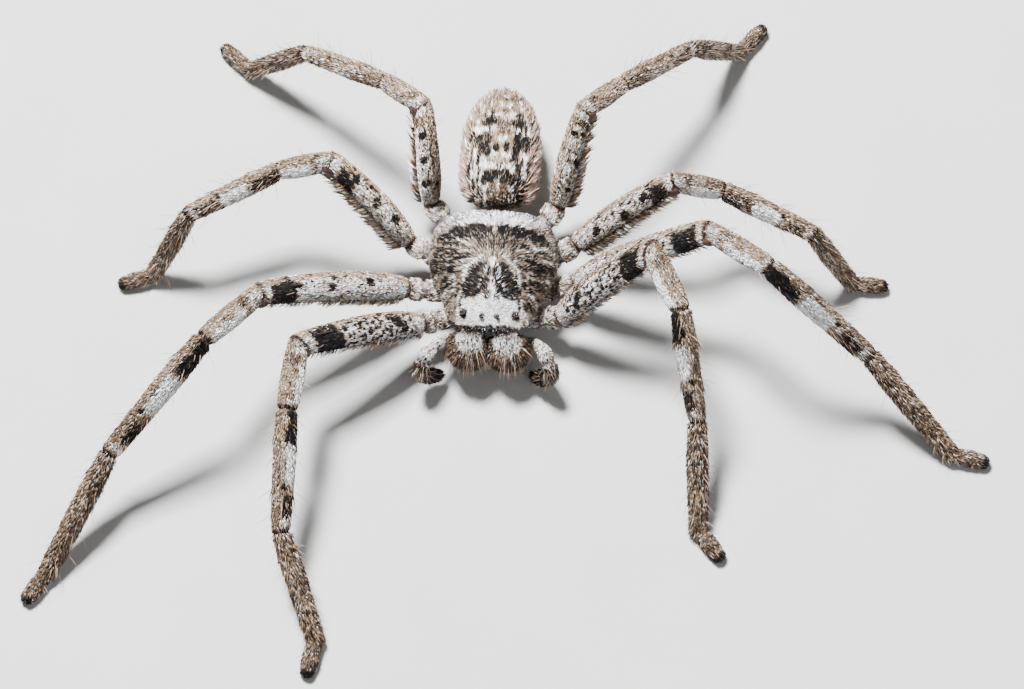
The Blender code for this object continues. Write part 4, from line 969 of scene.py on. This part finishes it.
def fuse(pieces, name):
    """Join closed meshes to the first by one union, and drop the others."""
    first, others = pieces[0], pieces[1:]
    group = bpy.data.collections.new(name)
    bpy.context.scene.collection.children.link(group)
    for piece in others:
        group.objects.link(piece)
    union = first.modifiers.new(name, "BOOLEAN")
    union.operation, union.solver = "UNION", "MANIFOLD"
    union.operand_type, union.collection = "COLLECTION", group
    bpy.context.view_layer.update()
    whole = bpy.data.meshes.new_from_object(first.evaluated_get(bpy.context.evaluated_depsgraph_get()))
    first.modifiers.clear()
    first.data = whole
    for piece in others:
        bpy.data.objects.remove(piece, do_unlink=True)
    bpy.data.collections.remove(group)
    first.name = whole.name = name
    return first


for sign, pair in LEGS:
    bulb = Shell(knee_bulb(sign, pair), np.linspace(0.02, 0.98, 12), 18)
    SKINS.append(plain(bulb, 0.0, 0.0, 1.0, 1.0))
forms = [add_mesh(f"form_{k}", shell.points, shell.triangles,
                  dict(zip(("dark", "white", "brown", "bare"), (*marks, 0.0 * marks[0])[:4])))
         for k, (shell, marks) in enumerate(SKINS)]
skin = fuse(forms, "skin")
skin.data.shade_smooth()
skin.data.materials.clear()
skin.data.materials.append(skin_finish())
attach(skin, "root")
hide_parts(*FLESH)


# The short coat is thousands of fine flat hairs, each rooted in the skin and lying along it, widest below
# the middle and bent down to its tip. It is longest on the feet and low on the jaws, and shortest over the
# eyes.

HAIR_SUNK = 0.00006
HAIR_BOW = 16.0
HAIR_FACES = np.array(((0, 2, 1), (1, 2, 3), (0, 3, 2), (0, 1, 3)))
PATCH = 0.0015
TUFT = 0.00042
STRAY_DARK, STRAY_WHITE = 0.07, 0.07


class Coat:
    """Hairs gathered for one piece of coat, each a closed sliver of four faces with a patch of the map."""

    def __init__(self):
        self.points, self.patches, self.values = [], [], []

    def grow(self, shell, chart, u, v, lie, length, width, lift, marks, draw, tuft=0.55, mixed=True):
        """Hairs at (u, v): lie(point, out, along, around) says where they point, and lift how far they stand
        off. Neighbours in a tuft share a lean, a lift and a tone, and each hair is of one colour if mixed."""
        point, out, along, around, _ = shell.at(u, v)
        count = len(u)
        over = point @ np.array(((1.0, 0.2), (0.1, 1.0), (0.7, 0.8))) / TUFT
        lean = mottle(over[:, 0], over[:, 1], 21) - 0.5
        stand = mottle(over[:, 0] + 31.0, over[:, 1], 22) - 0.5
        lie = unit(lie(point, out, along, around))
        lie = lie + 1.6 * tuft * lean[:, None] * np.cross(out, lie) + draw.normal(0.0, 0.15, (count, 3))
        lie = unit(lie - out * np.sum(lie * out, -1, keepdims=True))
        rise = np.radians(lift * draw.uniform(0.6, 1.3, count) * (1.0 + 1.3 * tuft * stand))[:, None]
        length = (length * draw.uniform(0.7, 1.25, count))[:, None]
        width = (width * draw.uniform(0.75, 1.25, count))[:, None]
        crest = rise + np.radians(HAIR_BOW)
        root = point - HAIR_SUNK * out
        middle = root + 0.42 * length * (lie * np.cos(crest) + out * np.sin(crest))
        half = 0.5 * width * np.cross(out, lie)
        tip = root + length * (lie * np.cos(rise) + out * np.sin(rise))
        hair = np.stack([root, middle + half, middle - half, tip], 1)
        hair[..., 2] = np.maximum(hair[..., 2], 0.00003 + 0.00002 * np.arange(4))
        dark, white, brown = marks(u, v, point + 0.75 * length * lie)
        if mixed:
            dark = ease(-0.10, 0.10, np.clip(dark, STRAY_DARK, 0.96) - draw.random(count))
            white = ease(-0.15, 0.15, np.clip(white, STRAY_WHITE, 0.94) - draw.random(count))
            brown = np.clip(brown + draw.normal(0.0, 0.14, count), 0.0, 1.0)
        tone = np.clip(0.5 + 1.0 * tuft * stand + draw.uniform(-0.42, 0.42, count), 0.0, 1.0)
        corners = PATCH * np.array(((0.0, -1.0), (-1.0, 0.0), (1.0, 0.0), (0.0, 1.0)))
        self.points.append(hair.reshape(-1, 3))
        self.patches.append((chart(u, v)[:, None] + corners).reshape(-1, 2))
        self.values.append(np.repeat(np.stack([dark, white, brown, tone]), 4, axis=1))

    def finish(self, name, slot, material):
        """The gathered hairs as one object that rides with the body."""
        points = np.concatenate(self.points)
        count = len(points) // 4
        triangles = (HAIR_FACES[None] + 4 * np.arange(count)[:, None, None]).reshape(-1, 3)
        values = np.concatenate(self.values, axis=1)
        values = dict(zip(("dark", "white", "brown", "tone"), values))
        # The tip mask runs from 0 at the root to 1 at the tip: painted shade low in the coat, painted light
        # at the tips.
        values["tip"] = np.tile((0.0, 0.4, 0.4, 1.0), count)
        made = add_mesh(name, points, triangles, values, np.concatenate(self.patches), smooth=False)
        made.data.materials.append(material)
        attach(made, "root")
        return made


def coat_finish(name, **colours):
    """Hair in the coat's colours: one lighter or darker than the next, dark at its root and paler to its tip
    by painted shade deep in the coat.
    """
    finish = Finish(name, Roughness=0.5, Specular_IOR_Level=0.12)
    # Tone is a random lightness; the tip mask adds painted shade towards the root.
    shade = 0.22 + 0.84 * finish.mask("tone") + 0.36 * finish.mask("tip")
    return finish.feed(Base_Color=finish.scale(coat_colour(finish, **colours), shade))


def rolled(span, cell):
    """A chart of a long form: its length and its turn as the sides of a cell (left, low, width, height)."""
    def chart(u, v):
        share = 0.01 + 0.98 * (u - span[0]) / (span[1] - span[0])
        return np.stack([cell[0] + cell[2] * share, cell[1] + cell[3] * (0.01 + 0.98 * v)], -1)
    return chart


def spread(u, v):
    """A chart of the head shield: laid out flat about its crown, as far out as each place is from it."""
    turn = 2.0 * np.pi * v
    far = 0.48 * (1.0 - u) / 1.1
    return np.stack([0.5 + far * np.sin(turn), 0.5 - far * np.cos(turn)], -1)


draw = np.random.default_rng(5)
coat_material = coat_finish("coat")


def shield_lie(point, out, along, around):
    """Out and back from a place before the middle, and down over the face in front."""
    x, y = (point[..., 0] - BODY_AT[0]) / 0.0081, (point[..., 1] - BODY_AT[1]) / 0.0085
    face = fade(-1.0, -0.86, y)
    back = np.where(y > 0.0, 0.25 + 1.2 * y, 0.25 + 0.35 * y)
    return np.stack([1.35 * x, back * (1.0 - face) - 0.5 * face, -0.8 * face], -1)


def rearwards(point):
    """How far a place lies behind the shield's middle."""
    return point[..., 1] - BODY_AT[1]


def evenly(*values):
    """The same marks for every hair."""
    return lambda u, v, seen: tuple(value + 0.0 * u for value in values)


def rim_lie(point, out, along, around):
    """Out over the rim, and a little to the rear."""
    return -along + 0.35 * out + (0.0, 0.3, 0.0)


def brow_lie(point, out, along, around):
    """Down over the face."""
    return np.zeros_like(out) + (0.0, -0.4, -1.0)


def rim_marks(u, v, seen):
    """Brown in front, tan at the sides, and white behind."""
    back = rearwards(seen)
    white = either(0.85 * ease(0.0045, 0.0065, back), 0.25 + 0.0 * u)
    return 0.06 + 0.0 * u, white, 0.45 + 0.2 * ease(0.0, -0.006, back)


shield_coat = Coat()
u, v = SHIELD.scatter(44500, (-0.06, 1.0), draw, cells=(120, 160))
on_face = 0.55 + 0.45 * ease(-0.0072, -0.0040, rearwards(SHIELD.place(u, v)))
on_rim = 0.6 + 0.4 * ease(0.0, 0.25, u)
shield_coat.grow(SHIELD, spread, u, v, shield_lie, 0.70 * MM * on_face * on_rim, 0.056 * MM, 14.0,
                 lambda u, v, seen: shield_marks(seen), draw)
u, v = SHIELD.scatter(2800, (-0.06, 0.12), draw,
                      dense=lambda u, v, point: ease(-0.0090, -0.0070, rearwards(point)))
shield_coat.grow(SHIELD, spread, u, v, rim_lie, 0.5 * MM, 0.040 * MM, 26.0, rim_marks, draw)
u, v = SHIELD.scatter(900, (-0.06, 0.05), draw,
                      dense=lambda u, v, point: fade(-0.0086, -0.0080, rearwards(point)))
shield_coat.grow(SHIELD, spread, u, v, brow_lie, 0.85 * MM, 0.045 * MM, 30.0, evenly(0.93, 0.0, 0.9), draw)
shield_material = coat_finish("coat_shield", tan=(0.30, 0.228, 0.16), brown=(0.080, 0.055, 0.040))
shield_coat.finish("coat_head_shield", "coat_pale", shield_material)


def abdomen_lie(spray):
    """Back along the abdomen, and out to both sides as much as spray says."""
    def lie(point, out, along, around):
        return np.stack([(point[..., 0] - BODY_AT[0]) * spray, np.ones(len(point)), np.zeros(len(point))], -1)
    return lie


abdomen_coat = Coat()
ABDOMEN_CHART = rolled((2.0, 11.0), (0.0, 0.0, 1.0, 1.0))
u, v = ABDOMEN.scatter(32000, (2.05, 10.95), draw,
                       dense=lambda u, v, point: 0.55 + 0.45 * ease(0.0045, 0.0065, point[..., 2]))
size = 0.84 * MM * (0.72 + 0.28 * ease(0.0098, 0.0128, rearwards(ABDOMEN.place(u, v))))
abdomen_coat.grow(ABDOMEN, ABDOMEN_CHART, u, v, abdomen_lie(30.0), size, 0.060 * MM, 13.0,
                  lambda u, v, seen: abdomen_marks(seen), draw, tuft=0.5)
abdomen_coat.finish("coat_abdomen", "coat_pale", coat_material)


# A thin fringe of finer, longer, pinkish hairs stands out from both sides and the tip of the abdomen. They
# are rooted in the same skin, between the hairs of the short coat.

fringe_coat = Coat()
u, v = ABDOMEN.scatter(3800, (3.3, 11.0), draw, dense=lambda u, v, point: either(
    np.exp(-((np.abs((v + 0.25) % 1.0 - 0.5) - 0.235) / 0.05) ** 2), 0.5 * ease(8.5, 10.4, u)))
fringe_coat.grow(ABDOMEN, ABDOMEN_CHART, u, v, abdomen_lie(150.0), 1.45 * MM, 0.024 * MM, 28.0,
                 evenly(0.06, 0.10, 0.48), draw, tuft=0.3)
fringe_material = coat_finish("fringe", pale=(0.60, 0.45, 0.37), tan=(0.38, 0.245, 0.185))
fringe_coat.finish("coat_abdomen_fringe", "coat_tan", fringe_material)


# The face has the shortest and finest coat. It hangs down the jaws, longer and orange-brown towards the
# fangs, and lies along the palps, longer and darker on their brush-like ends.


def falling(down, aside=0.0):
    """Along the form, with a share of a fixed direction added: down, and to the side away from the middle."""
    def lie(point, out, along, around):
        return along + np.array((aside, -0.1, -down))
    return lie


face_coat = Coat()
for index, sign in enumerate(JAWS):
    chart = rolled((-1.0, 7.0), (0.0, 0.25 * index, 1.0, 0.25))
    u, v = JAWS[sign].scatter(8400, (-0.9, 6.95), draw)
    low = ease(1.0, 3.0, u)
    face_coat.grow(JAWS[sign], chart, u, v, falling(0.3, 0.1 * sign), (0.42 + 0.70 * low) * MM, 0.048 * MM,
                   15.0 + 13.0 * low, lambda u, v, seen: jaw_marks(seen), draw, tuft=0.4)
for index, sign in enumerate(PALPS):
    chart = rolled((0.0, 12.0), (0.0, 0.5 + 0.25 * index, 1.0, 0.25))
    u, v = PALPS[sign].scatter(6200, (1.5, 11.9), draw)
    past = ease(5.4, 7.0, u)
    size, width = (0.45 + 0.50 * past) * MM, (0.054 - 0.022 * past) * MM
    face_coat.grow(PALPS[sign], chart, u, v, falling(0.0), size, width, 13.0 + 11.0 * past,
                   lambda u, v, seen: palp_marks(u, v), draw, tuft=0.4)
face_coat.finish("coat_face", "coat_tan", coat_material)


# The legs' coat lies towards the toes. A looser fringe hangs from the thighs, and a dense brush of short grey
# hairs, on which the animal walks, runs under the feet and toes.

LEG_HAIR_LONG = np.array((0.62, 0.52, 0.60, 0.78, 0.95, 0.60)) * MM
LEG_HAIR_WIDE = np.array((0.060, 0.072, 0.072, 0.072, 0.066, 0.062)) * MM
LEG_HAIR_LIFT = np.array((15.0, 12.0, 14.0, 17.0, 22.0, 24.0))
# By pair: how many hairs the thigh's fringe has, and how long they are in millimetres
THIGH_FRINGE = {1: (420, 1.1), 2: (420, 1.1), 3: (760, 1.8), 4: (760, 1.8)}


def forwards(point, out, along, around):
    """Straight along the form."""
    return along


def outwards(point, out, along, around):
    """Along the form and nearly as much down."""
    return along + (0.0, 0.0, -0.8)


def sole(sign, v, half):
    """1 on the underside of a leg, within about half degrees of straight down."""
    return about((facing(sign, v) + 180.0) % 360.0, 90.0, half)


for (sign, pair), shell in LEGS.items():
    coat = Coat()
    chart = rolled((0.0, 6.0), (0.0, 0.0, 1.0, 1.0))
    u, v = shell.scatter(29300, (0.03, 5.98), draw, dense=lambda u, v, point: (
        1.0 - 0.95 * leg_bare(sign, u, v)) * (1.0 - 0.5 * sole(sign, v, 60.0)))
    k = u.astype(int)
    share = np.minimum(0.7 * LEG_HAIR_LONG[k] / np.array(LEG_LENGTHS[pair])[k], k + 0.999 - u)
    coat.grow(shell, chart, u, v, forwards, LEG_HAIR_LONG[k], LEG_HAIR_WIDE[k], LEG_HAIR_LIFT[k],
              lambda u, v, seen: leg_marks(sign, pair, u + share, v), draw, tuft=0.4)
    count, length = THIGH_FRINGE[pair]
    u, v = shell.scatter(count, (1.02, 1.95), draw, dense=lambda u, v, point: (
        about(facing(sign, v), -40.0, 38.0) * (1.0 - 0.6 * ease(1.3, 1.7, u))))
    coat.grow(shell, chart, u, v, outwards, length * MM, 0.021 * MM, 34.0, evenly(0.0, 0.20, 0.30), draw,
              tuft=0.12)
    u, v = shell.scatter(2200, (4.15, 5.97), draw, dense=lambda u, v, point: sole(sign, v, 72.0))
    coat.grow(shell, chart, u, v, forwards, 0.55 * MM, 0.055 * MM, 42.0,
              lambda u, v, seen: (0.60 + 0.3 * ease(5.4, 5.9, u), 1.0 + 0.0 * u, 0.0 * u), draw, mixed=False)
    side = "left" if sign > 0 else "right"
    coat.finish(f"coat_leg_{side}_{pair}", "coat_tan", coat_material)


# Long fine feeling hairs stand up from the legs, the jaws, the palps and the abdomen, and black movable
# spines lie on the thighs, shins and feet. Each is a thin round cone bent towards its tip.

# From and to which station, how many, and how long in millimetres
SETA_SPANS = ((1.0, 2.0, 20, 1.5), (2.0, 3.0, 20, 1.7), (3.0, 4.0, 56, 2.5), (4.0, 5.0, 60, 2.2),
              (5.0, 5.8, 16, 1.1))
SETA_HALF_WIDTH = 0.000027
STRIPS = 13
# By length of the leg: share of the length and angle in degrees
SPINE_PLACES = {1: ((0.28, 95), (0.52, 82), (0.76, 98)),
                3: ((0.18, 10), (0.24, 170), (0.40, 95), (0.60, 5), (0.66, 175), (0.84, -50)),
                4: ((0.10, 15), (0.14, 165), (0.50, 5), (0.56, 175))}
SPINE_LONG, SPINE_HALF_WIDTH, SPINE_LIFT = 0.0026, 0.00010, 20.0


class Bristles:
    """Thin cones gathered for one piece: rings of a few sides from the root to a pointed tip."""

    def __init__(self, sides, rings):
        self.sides, self.rings, self.points, self.patches = sides, rings, [], []
        ring = np.arange(sides * rings).reshape(rings, sides)
        on = np.roll(ring, -1, axis=1)
        quads = np.stack([ring[:-1], on[:-1], on[1:], ring[1:]], -1).reshape(-1, 4)
        tip = np.stack([ring[-1], on[-1], np.full(sides, sides * rings)], -1)
        root = np.stack([np.zeros(sides - 2, int), np.arange(2, sides), np.arange(1, sides - 1)], -1)
        self.faces = np.concatenate([quads[:, [0, 1, 2]], quads[:, [0, 2, 3]], tip, root])

    def grow(self, shell, chart, u, v, lie, length, half_width, lift, bend):
        """Cones at (u, v), lifted from the skin by an angle that falls by bend from the root to the tip."""
        point, out, along, around, _ = shell.at(u, v)
        lie = unit(lie(point, out, along, around))
        lie = unit(lie - out * np.sum(lie * out, -1, keepdims=True))
        steps = np.arange(self.rings + 1) / self.rings
        angle = np.radians(lift)[:, None] - np.radians(bend) * steps
        step = lie[:, None] * np.cos(angle)[..., None] + out[:, None] * np.sin(angle)[..., None]
        path = np.concatenate([np.zeros_like(step[:, :1]), step[:, 1:]], 1)
        path = np.cumsum(path, 1) * (length[:, None, None] / self.rings) + (point - HAIR_SUNK * out)[:, None]
        across = np.cross(lie, out)[:, None]
        rise = np.cross(across, step)
        turn = 2.0 * np.pi * np.arange(self.sides) / self.sides
        size = half_width * (0.15 + (1.0 - steps[:-1]) ** 0.7)
        ring = np.cos(turn)[:, None] * across[:, :, None] + np.sin(turn)[:, None] * rise[:, :-1, None]
        rings = path[:, :-1, None] + size[..., None, None] * ring
        whole = np.concatenate([rings.reshape(len(u), -1, 3), path[:, -1:]], 1)
        whole[..., 2] = np.maximum(whole[..., 2], 0.00003)
        self.points.append(whole)
        near, up = (grid.ravel() for grid in np.meshgrid(np.cos(turn), steps[:-1]))
        corners = PATCH * np.append(np.stack([near * (1.0 - up), 2.0 * up - 1.0], -1), [[0.0, 1.0]], axis=0)
        self.patches.append((chart(u, v)[:, None] + corners).reshape(-1, 2))

    def finish(self, name, slot, material):
        """The gathered cones as one object that rides with the body."""
        points = np.concatenate(self.points)
        faces = self.faces[None] + points.shape[1] * np.arange(len(points))[:, None, None]
        tone = np.repeat(draw.random(len(points)), points.shape[1])
        patches = np.concatenate(self.patches)
        made = add_mesh(name, points.reshape(-1, 3), faces.reshape(-1, 3), {"tone": tone}, patches)
        made.data.materials.append(material)
        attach(made, "root")
        return made


def two_tone(name, share, first, second, **constants):
    """A finish that blends two colours, by a mask of the mesh or by a noise of some scale."""
    finish = Finish(name, **constants)
    share = finish.mask(share) if isinstance(share, str) else finish.noise(share)
    return finish.feed(Base_Color=finish.blend(share, first, second))


def strip(index, span):
    """A chart of one form in a strip of the map of its own."""
    return rolled(span, (0.0, index / STRIPS, 1.0, 1.0 / STRIPS))


setae, spines = Bristles(3, 4), Bristles(6, 5)
for index, ((sign, pair), shell) in enumerate(LEGS.items()):
    chart = strip(index, (0.0, 6.0))
    for low, high, count, length in SETA_SPANS:
        u = draw.uniform(low + 0.05, high - 0.04, count)
        angle = draw.uniform(-30.0, 210.0, count)
        v = (angle if sign > 0 else 180.0 - angle) / 360.0 % 1.0
        sizes = length * MM * draw.uniform(0.5, 1.35, count)
        widths = SETA_HALF_WIDTH * draw.uniform(0.8, 1.5, (count, 1))
        setae.grow(shell, chart, u, v, forwards, sizes, widths, draw.uniform(38.0, 85.0, count), 26.0)
    for k, places in SPINE_PLACES.items():
        share, angle = np.transpose(places)
        shift = draw.normal(0.0, 1.0, (2, len(share)))
        u, v = k + share + 0.008 * shift[0], (angle + 5.0 * shift[1]) / 360.0 % 1.0
        sizes = SPINE_LONG * draw.uniform(0.85, 1.1, len(share))
        lifts = SPINE_LIFT * draw.uniform(0.8, 1.2, len(share))
        spines.grow(shell, chart, u, v, forwards, sizes, SPINE_HALF_WIDTH, lifts, 16.0)
for index, shell in enumerate(JAWS.values()):
    u, v = shell.scatter(150, (2.0, 6.5), draw,
                         dense=lambda u, v, point: ease(0.0, 0.6, -np.sin(2.0 * np.pi * v)))
    sizes, lifts = 2.2 * MM * draw.uniform(0.6, 1.3, 150), draw.uniform(30.0, 60.0, 150)
    chart = strip(8 + index, (-1.0, 7.0))
    setae.grow(shell, chart, u, v, falling(0.9), sizes, SETA_HALF_WIDTH * 1.3, lifts, 40.0)
for index, shell in enumerate(PALPS.values()):
    u, v = shell.scatter(60, (6.0, 11.0), draw)
    sizes, lifts = 1.5 * MM * draw.uniform(0.6, 1.3, 60), draw.uniform(40.0, 75.0, 60)
    chart = strip(10 + index, (0.0, 12.0))
    setae.grow(shell, chart, u, v, forwards, sizes, SETA_HALF_WIDTH, lifts, 30.0)
u, v = ABDOMEN.scatter(150, (3.0, 10.9), draw, dense=lambda u, v, point: ease(0.004, 0.007, point[..., 2]))
sizes, lifts = 1.7 * MM * draw.uniform(0.6, 1.3, 150), draw.uniform(40.0, 75.0, 150)
setae.grow(ABDOMEN, strip(12, (2.0, 11.0)), u, v, abdomen_lie(40.0), sizes, SETA_HALF_WIDTH, lifts, 30.0)
# Feeling hairs from pale straw to brown, and spines black-brown
seta_material = two_tone("seta", "tone", (0.52, 0.38, 0.27), (0.11, 0.06, 0.04), Roughness=0.4)
setae.finish("feeling_hairs", "coat_tan", seta_material)
spine_material = two_tone("spine", "tone", (0.006, 0.005, 0.005), (0.045, 0.022, 0.014), Roughness=0.3)
spines.finish("spines", "horn", spine_material)


# The rims of the hip pieces and collars are bare: smooth reddish-brown lips that overlap where the legs
# hinge. They are a piece of their own, laid a little out from the skin.

# Station of each rim, the angles its arc lies between, and its radius
RIMS = ((0.60, -60.0, 155.0, 0.00007), (0.69, -70.0, 125.0, 0.00006), (0.97, -85.0, 145.0, 0.00007),
        (0.80, -60.0, 60.0, 0.00006))
RIM_OUT = 0.00010


def rim(shell, sign, at, first, last, radius):
    """A round lip along an arc of a leg's ring: u from end to end, thickest in the middle, v round it."""
    def place(u, v):
        angle = first + (last - first) * u
        spin = (angle if sign > 0 else 180.0 - angle) / 360.0 % 1.0
        point, out, along, around, _ = shell.at(np.full_like(u, at), spin)
        size = radius * (0.15 + 0.85 * np.sin(np.pi * np.clip(u, 0.0, 1.0)) ** 0.6)[..., None]
        turn = 2.0 * np.pi * v[..., None]
        return point + RIM_OUT * out + size * (1.6 * np.cos(turn) * along + np.sin(turn) * out)
    return place


def joined(shells):
    """The points and triangles of several shells as one mesh."""
    starts = np.cumsum([0] + [len(shell.points) for shell in shells[:-1]])
    return (np.concatenate([shell.points for shell in shells]),
            np.concatenate([shell.triangles + start for shell, start in zip(shells, starts)]))


lips = [Shell(rim(shell, sign, *row), np.linspace(0.0, 1.0, 22), 8) for (sign, pair), shell in LEGS.items()
        for row in RIMS]
rims = add_mesh("hip_rims", *joined(lips))
rims.data.materials.append(two_tone("bare_rim", 1500.0, (0.040, 0.016, 0.010), (0.16, 0.085, 0.06),
                                    Roughness=0.3))
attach(rims, "root")


# The eight eyes are clear domes set in two rows at the front of the head shield, black and very glossy, the
# two at the outside a little larger.

EYE_ROUNDS, EYE_SIDES = 10, 24


def eye(middle, radius):
    """A ball about a point: u from pole to pole, v round."""
    def place(u, v):
        rise, turn = np.pi * (u - 0.5), 2.0 * np.pi * v
        flat = np.cos(rise)
        return middle + radius * np.stack([flat * np.cos(turn), flat * np.sin(turn), np.sin(rise)], -1)
    return place


EYE_RADII = {"front_mid": 0.00030, "front_side": 0.00036, "rear_mid": 0.00026, "rear_side": 0.00033}
eye_material = two_tone("eye", 2500.0, (0.006, 0.005, 0.005), (0.02, 0.012, 0.01), Roughness=0.06,
                        Coat_Weight=0.6, Coat_Roughness=0.03)
for side in ("left", "right"):
    for name, radius in EYE_RADII.items():
        node = f"eye_{side}_{name}"
        low, high = (np.array(corner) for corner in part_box(node))
        ball = Shell(eye(0.5 * (low + high), radius), np.linspace(0.02, 0.98, EYE_ROUNDS), EYE_SIDES)
        made = add_mesh("dome_" + node, ball.points, ball.triangles)
        made.data.materials.append(eye_material)
        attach(made, "root")
        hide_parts(node)


# The fangs are curved points of black horn, hinged at the tips of the jaws and folded in across their
# underside.

# The place of the middle and the radius
FANG_ROWS = ((0.0030, -0.0096, 0.0022, 0.00040), (0.0027, -0.0098, 0.0016, 0.00046),
             (0.0020, -0.0097, 0.0011, 0.00038), (0.0013, -0.0094, 0.0010, 0.00026),
             (0.0007, -0.0090, 0.0013, 0.00005))


def fang(sign):
    """A round tube on a curve through the rows, u counted in rows."""
    def place(u, v):
        row = through(FANG_ROWS, u)
        along = heading(FANG_ROWS, u)
        side = unit(np.cross(along, (0.0, 1.0, 0.0)))
        point = row[..., :3] + row[..., 3:] * ring(v, side, np.cross(side, along))
        return point * (sign, 1.0, 1.0) + BODY_AT
    return place


def horn_finish():
    """Black-brown horn, with faint rings in its gloss."""
    finish = Finish("horn", Roughness=0.25)
    grain = finish.noise(4000.0)
    return finish.feed(Base_Color=finish.blend(grain, (0.008, 0.004, 0.003), (0.05, 0.018, 0.01)),
                       Roughness=0.16 + 0.2 * grain)


horn_material = horn_finish()
for side, sign in (("left", 1.0), ("right", -1.0)):
    tooth = Shell(fang(sign), np.linspace(0.0, 4.0, 28), 20)
    made = add_mesh("horn_fang_" + side, tooth.points, tooth.triangles)
    made.data.materials.append(horn_material)
    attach(made, "root")
    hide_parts("fang_" + side)


# Two small hooked claws of black horn end each toe. They grow from its tip, and are half hidden in its
# brush.

CLAW_LONG, CLAW_HALF_WIDTH, CLAW_SPLAY = 0.00085, 0.00009, 24.0


def claw(root, along, side, sign):
    """A round cone along an arc that bends down: u from root to tip, v round."""
    lean = np.radians(CLAW_SPLAY) * sign

    def place(u, v):
        reach, upright = u[..., None], np.array((0.0, 0.0, 1.0))
        fall = np.radians(25.0 + 55.0 * reach)
        ahead = unit(np.cos(lean) * along + np.sin(lean) * side)
        middle = root + sign * 0.00018 * side + CLAW_LONG * reach * ahead
        middle = middle - 0.30 * CLAW_LONG * reach ** 2 * upright
        size = CLAW_HALF_WIDTH * (1.05 - reach)
        up = np.sin(fall) * ahead + np.cos(fall) * upright
        return middle + size * ring(v, np.cross(ahead, up), up)
    return place


hooks = []
for sign, pair in LEGS:
    joints = leg_joints(sign, pair)
    along = unit(joints[6] - joints[5])
    side = unit(np.cross(along, (0.0, 0.0, 1.0)))
    root = joints[6] + BODY_AT - 0.00025 * along + (0.0, 0.0, 0.00012)
    hooks += [Shell(claw(root, along, side, twin), np.linspace(0.0, 1.0, 12), 8) for twin in (1.0, -1.0)]
claws = add_mesh("toe_claws", *joined(hooks))
claws.data.materials.append(horn_material)
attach(claws, "root")


# The stand, the light and the camera: a pale floor of card, soft light from behind and above, and the view
# from high in front of the head.

FLOOR_SIZE = 3.0
CAMERA_TURN, CAMERA_RISE = 3.3386, 65.0
CAMERA_DISTANCE = 0.62035
CAMERA_AIM = BODY_AT + (0.0027529, -0.0062772, 0.0)
SENSOR = 36.0
LENS = 5000.0 * SENSOR / 1024.0

half = 0.5 * FLOOR_SIZE
corners = np.array(((-half, -half, 0.0), (half, -half, 0.0), (half, half, 0.0), (-half, half, 0.0)))
floor = add_mesh("pale_floor", corners, np.array(((0, 1, 2), (0, 2, 3))), smooth=False)
floor.data.materials.append(two_tone("pale_floor", 60.0, (0.39, 0.39, 0.39), (0.44, 0.44, 0.435),
                                     Roughness=0.9))


def lamp(name, place, size, power, aim):
    """A square soft light at a place, turned to face a point."""
    light = bpy.data.lights.new(name, "AREA")
    light.shape, light.size, light.energy = "SQUARE", size, power
    made = bpy.data.objects.new(name, light)
    made.location = place
    made.rotation_euler = (made.location - Vector(aim)).to_track_quat("Z", "Y").to_euler()
    bpy.context.scene.collection.objects.link(made)


lamp("key_light", (-0.20, 0.28, 0.72), 0.17, 43.0, BODY_AT)
lamp("fill_light", (0.45, -0.55, 0.65), 0.7, 3.0, BODY_AT)
world = bpy.data.worlds.new("soft_room")
world.use_nodes = True
world.node_tree.nodes["Background"].inputs["Color"].default_value = (1.0, 1.0, 1.0, 1.0)
world.node_tree.nodes["Background"].inputs["Strength"].default_value = 0.21
bpy.context.scene.world = world

turn, rise = np.radians(CAMERA_TURN), np.radians(CAMERA_RISE)
back = Vector((np.sin(turn) * np.cos(rise), -np.cos(turn) * np.cos(rise), np.sin(rise)))
lens = bpy.data.cameras.new("camera")
lens.sensor_width, lens.lens, lens.clip_start = SENSOR, LENS, 0.01
camera = bpy.data.objects.new("camera", lens)
camera.location = Vector(CAMERA_AIM) + back * CAMERA_DISTANCE
camera.rotation_euler = back.to_track_quat("Z", "Y").to_euler()
bpy.context.scene.collection.objects.link(camera)
bpy.context.scene.camera = camera
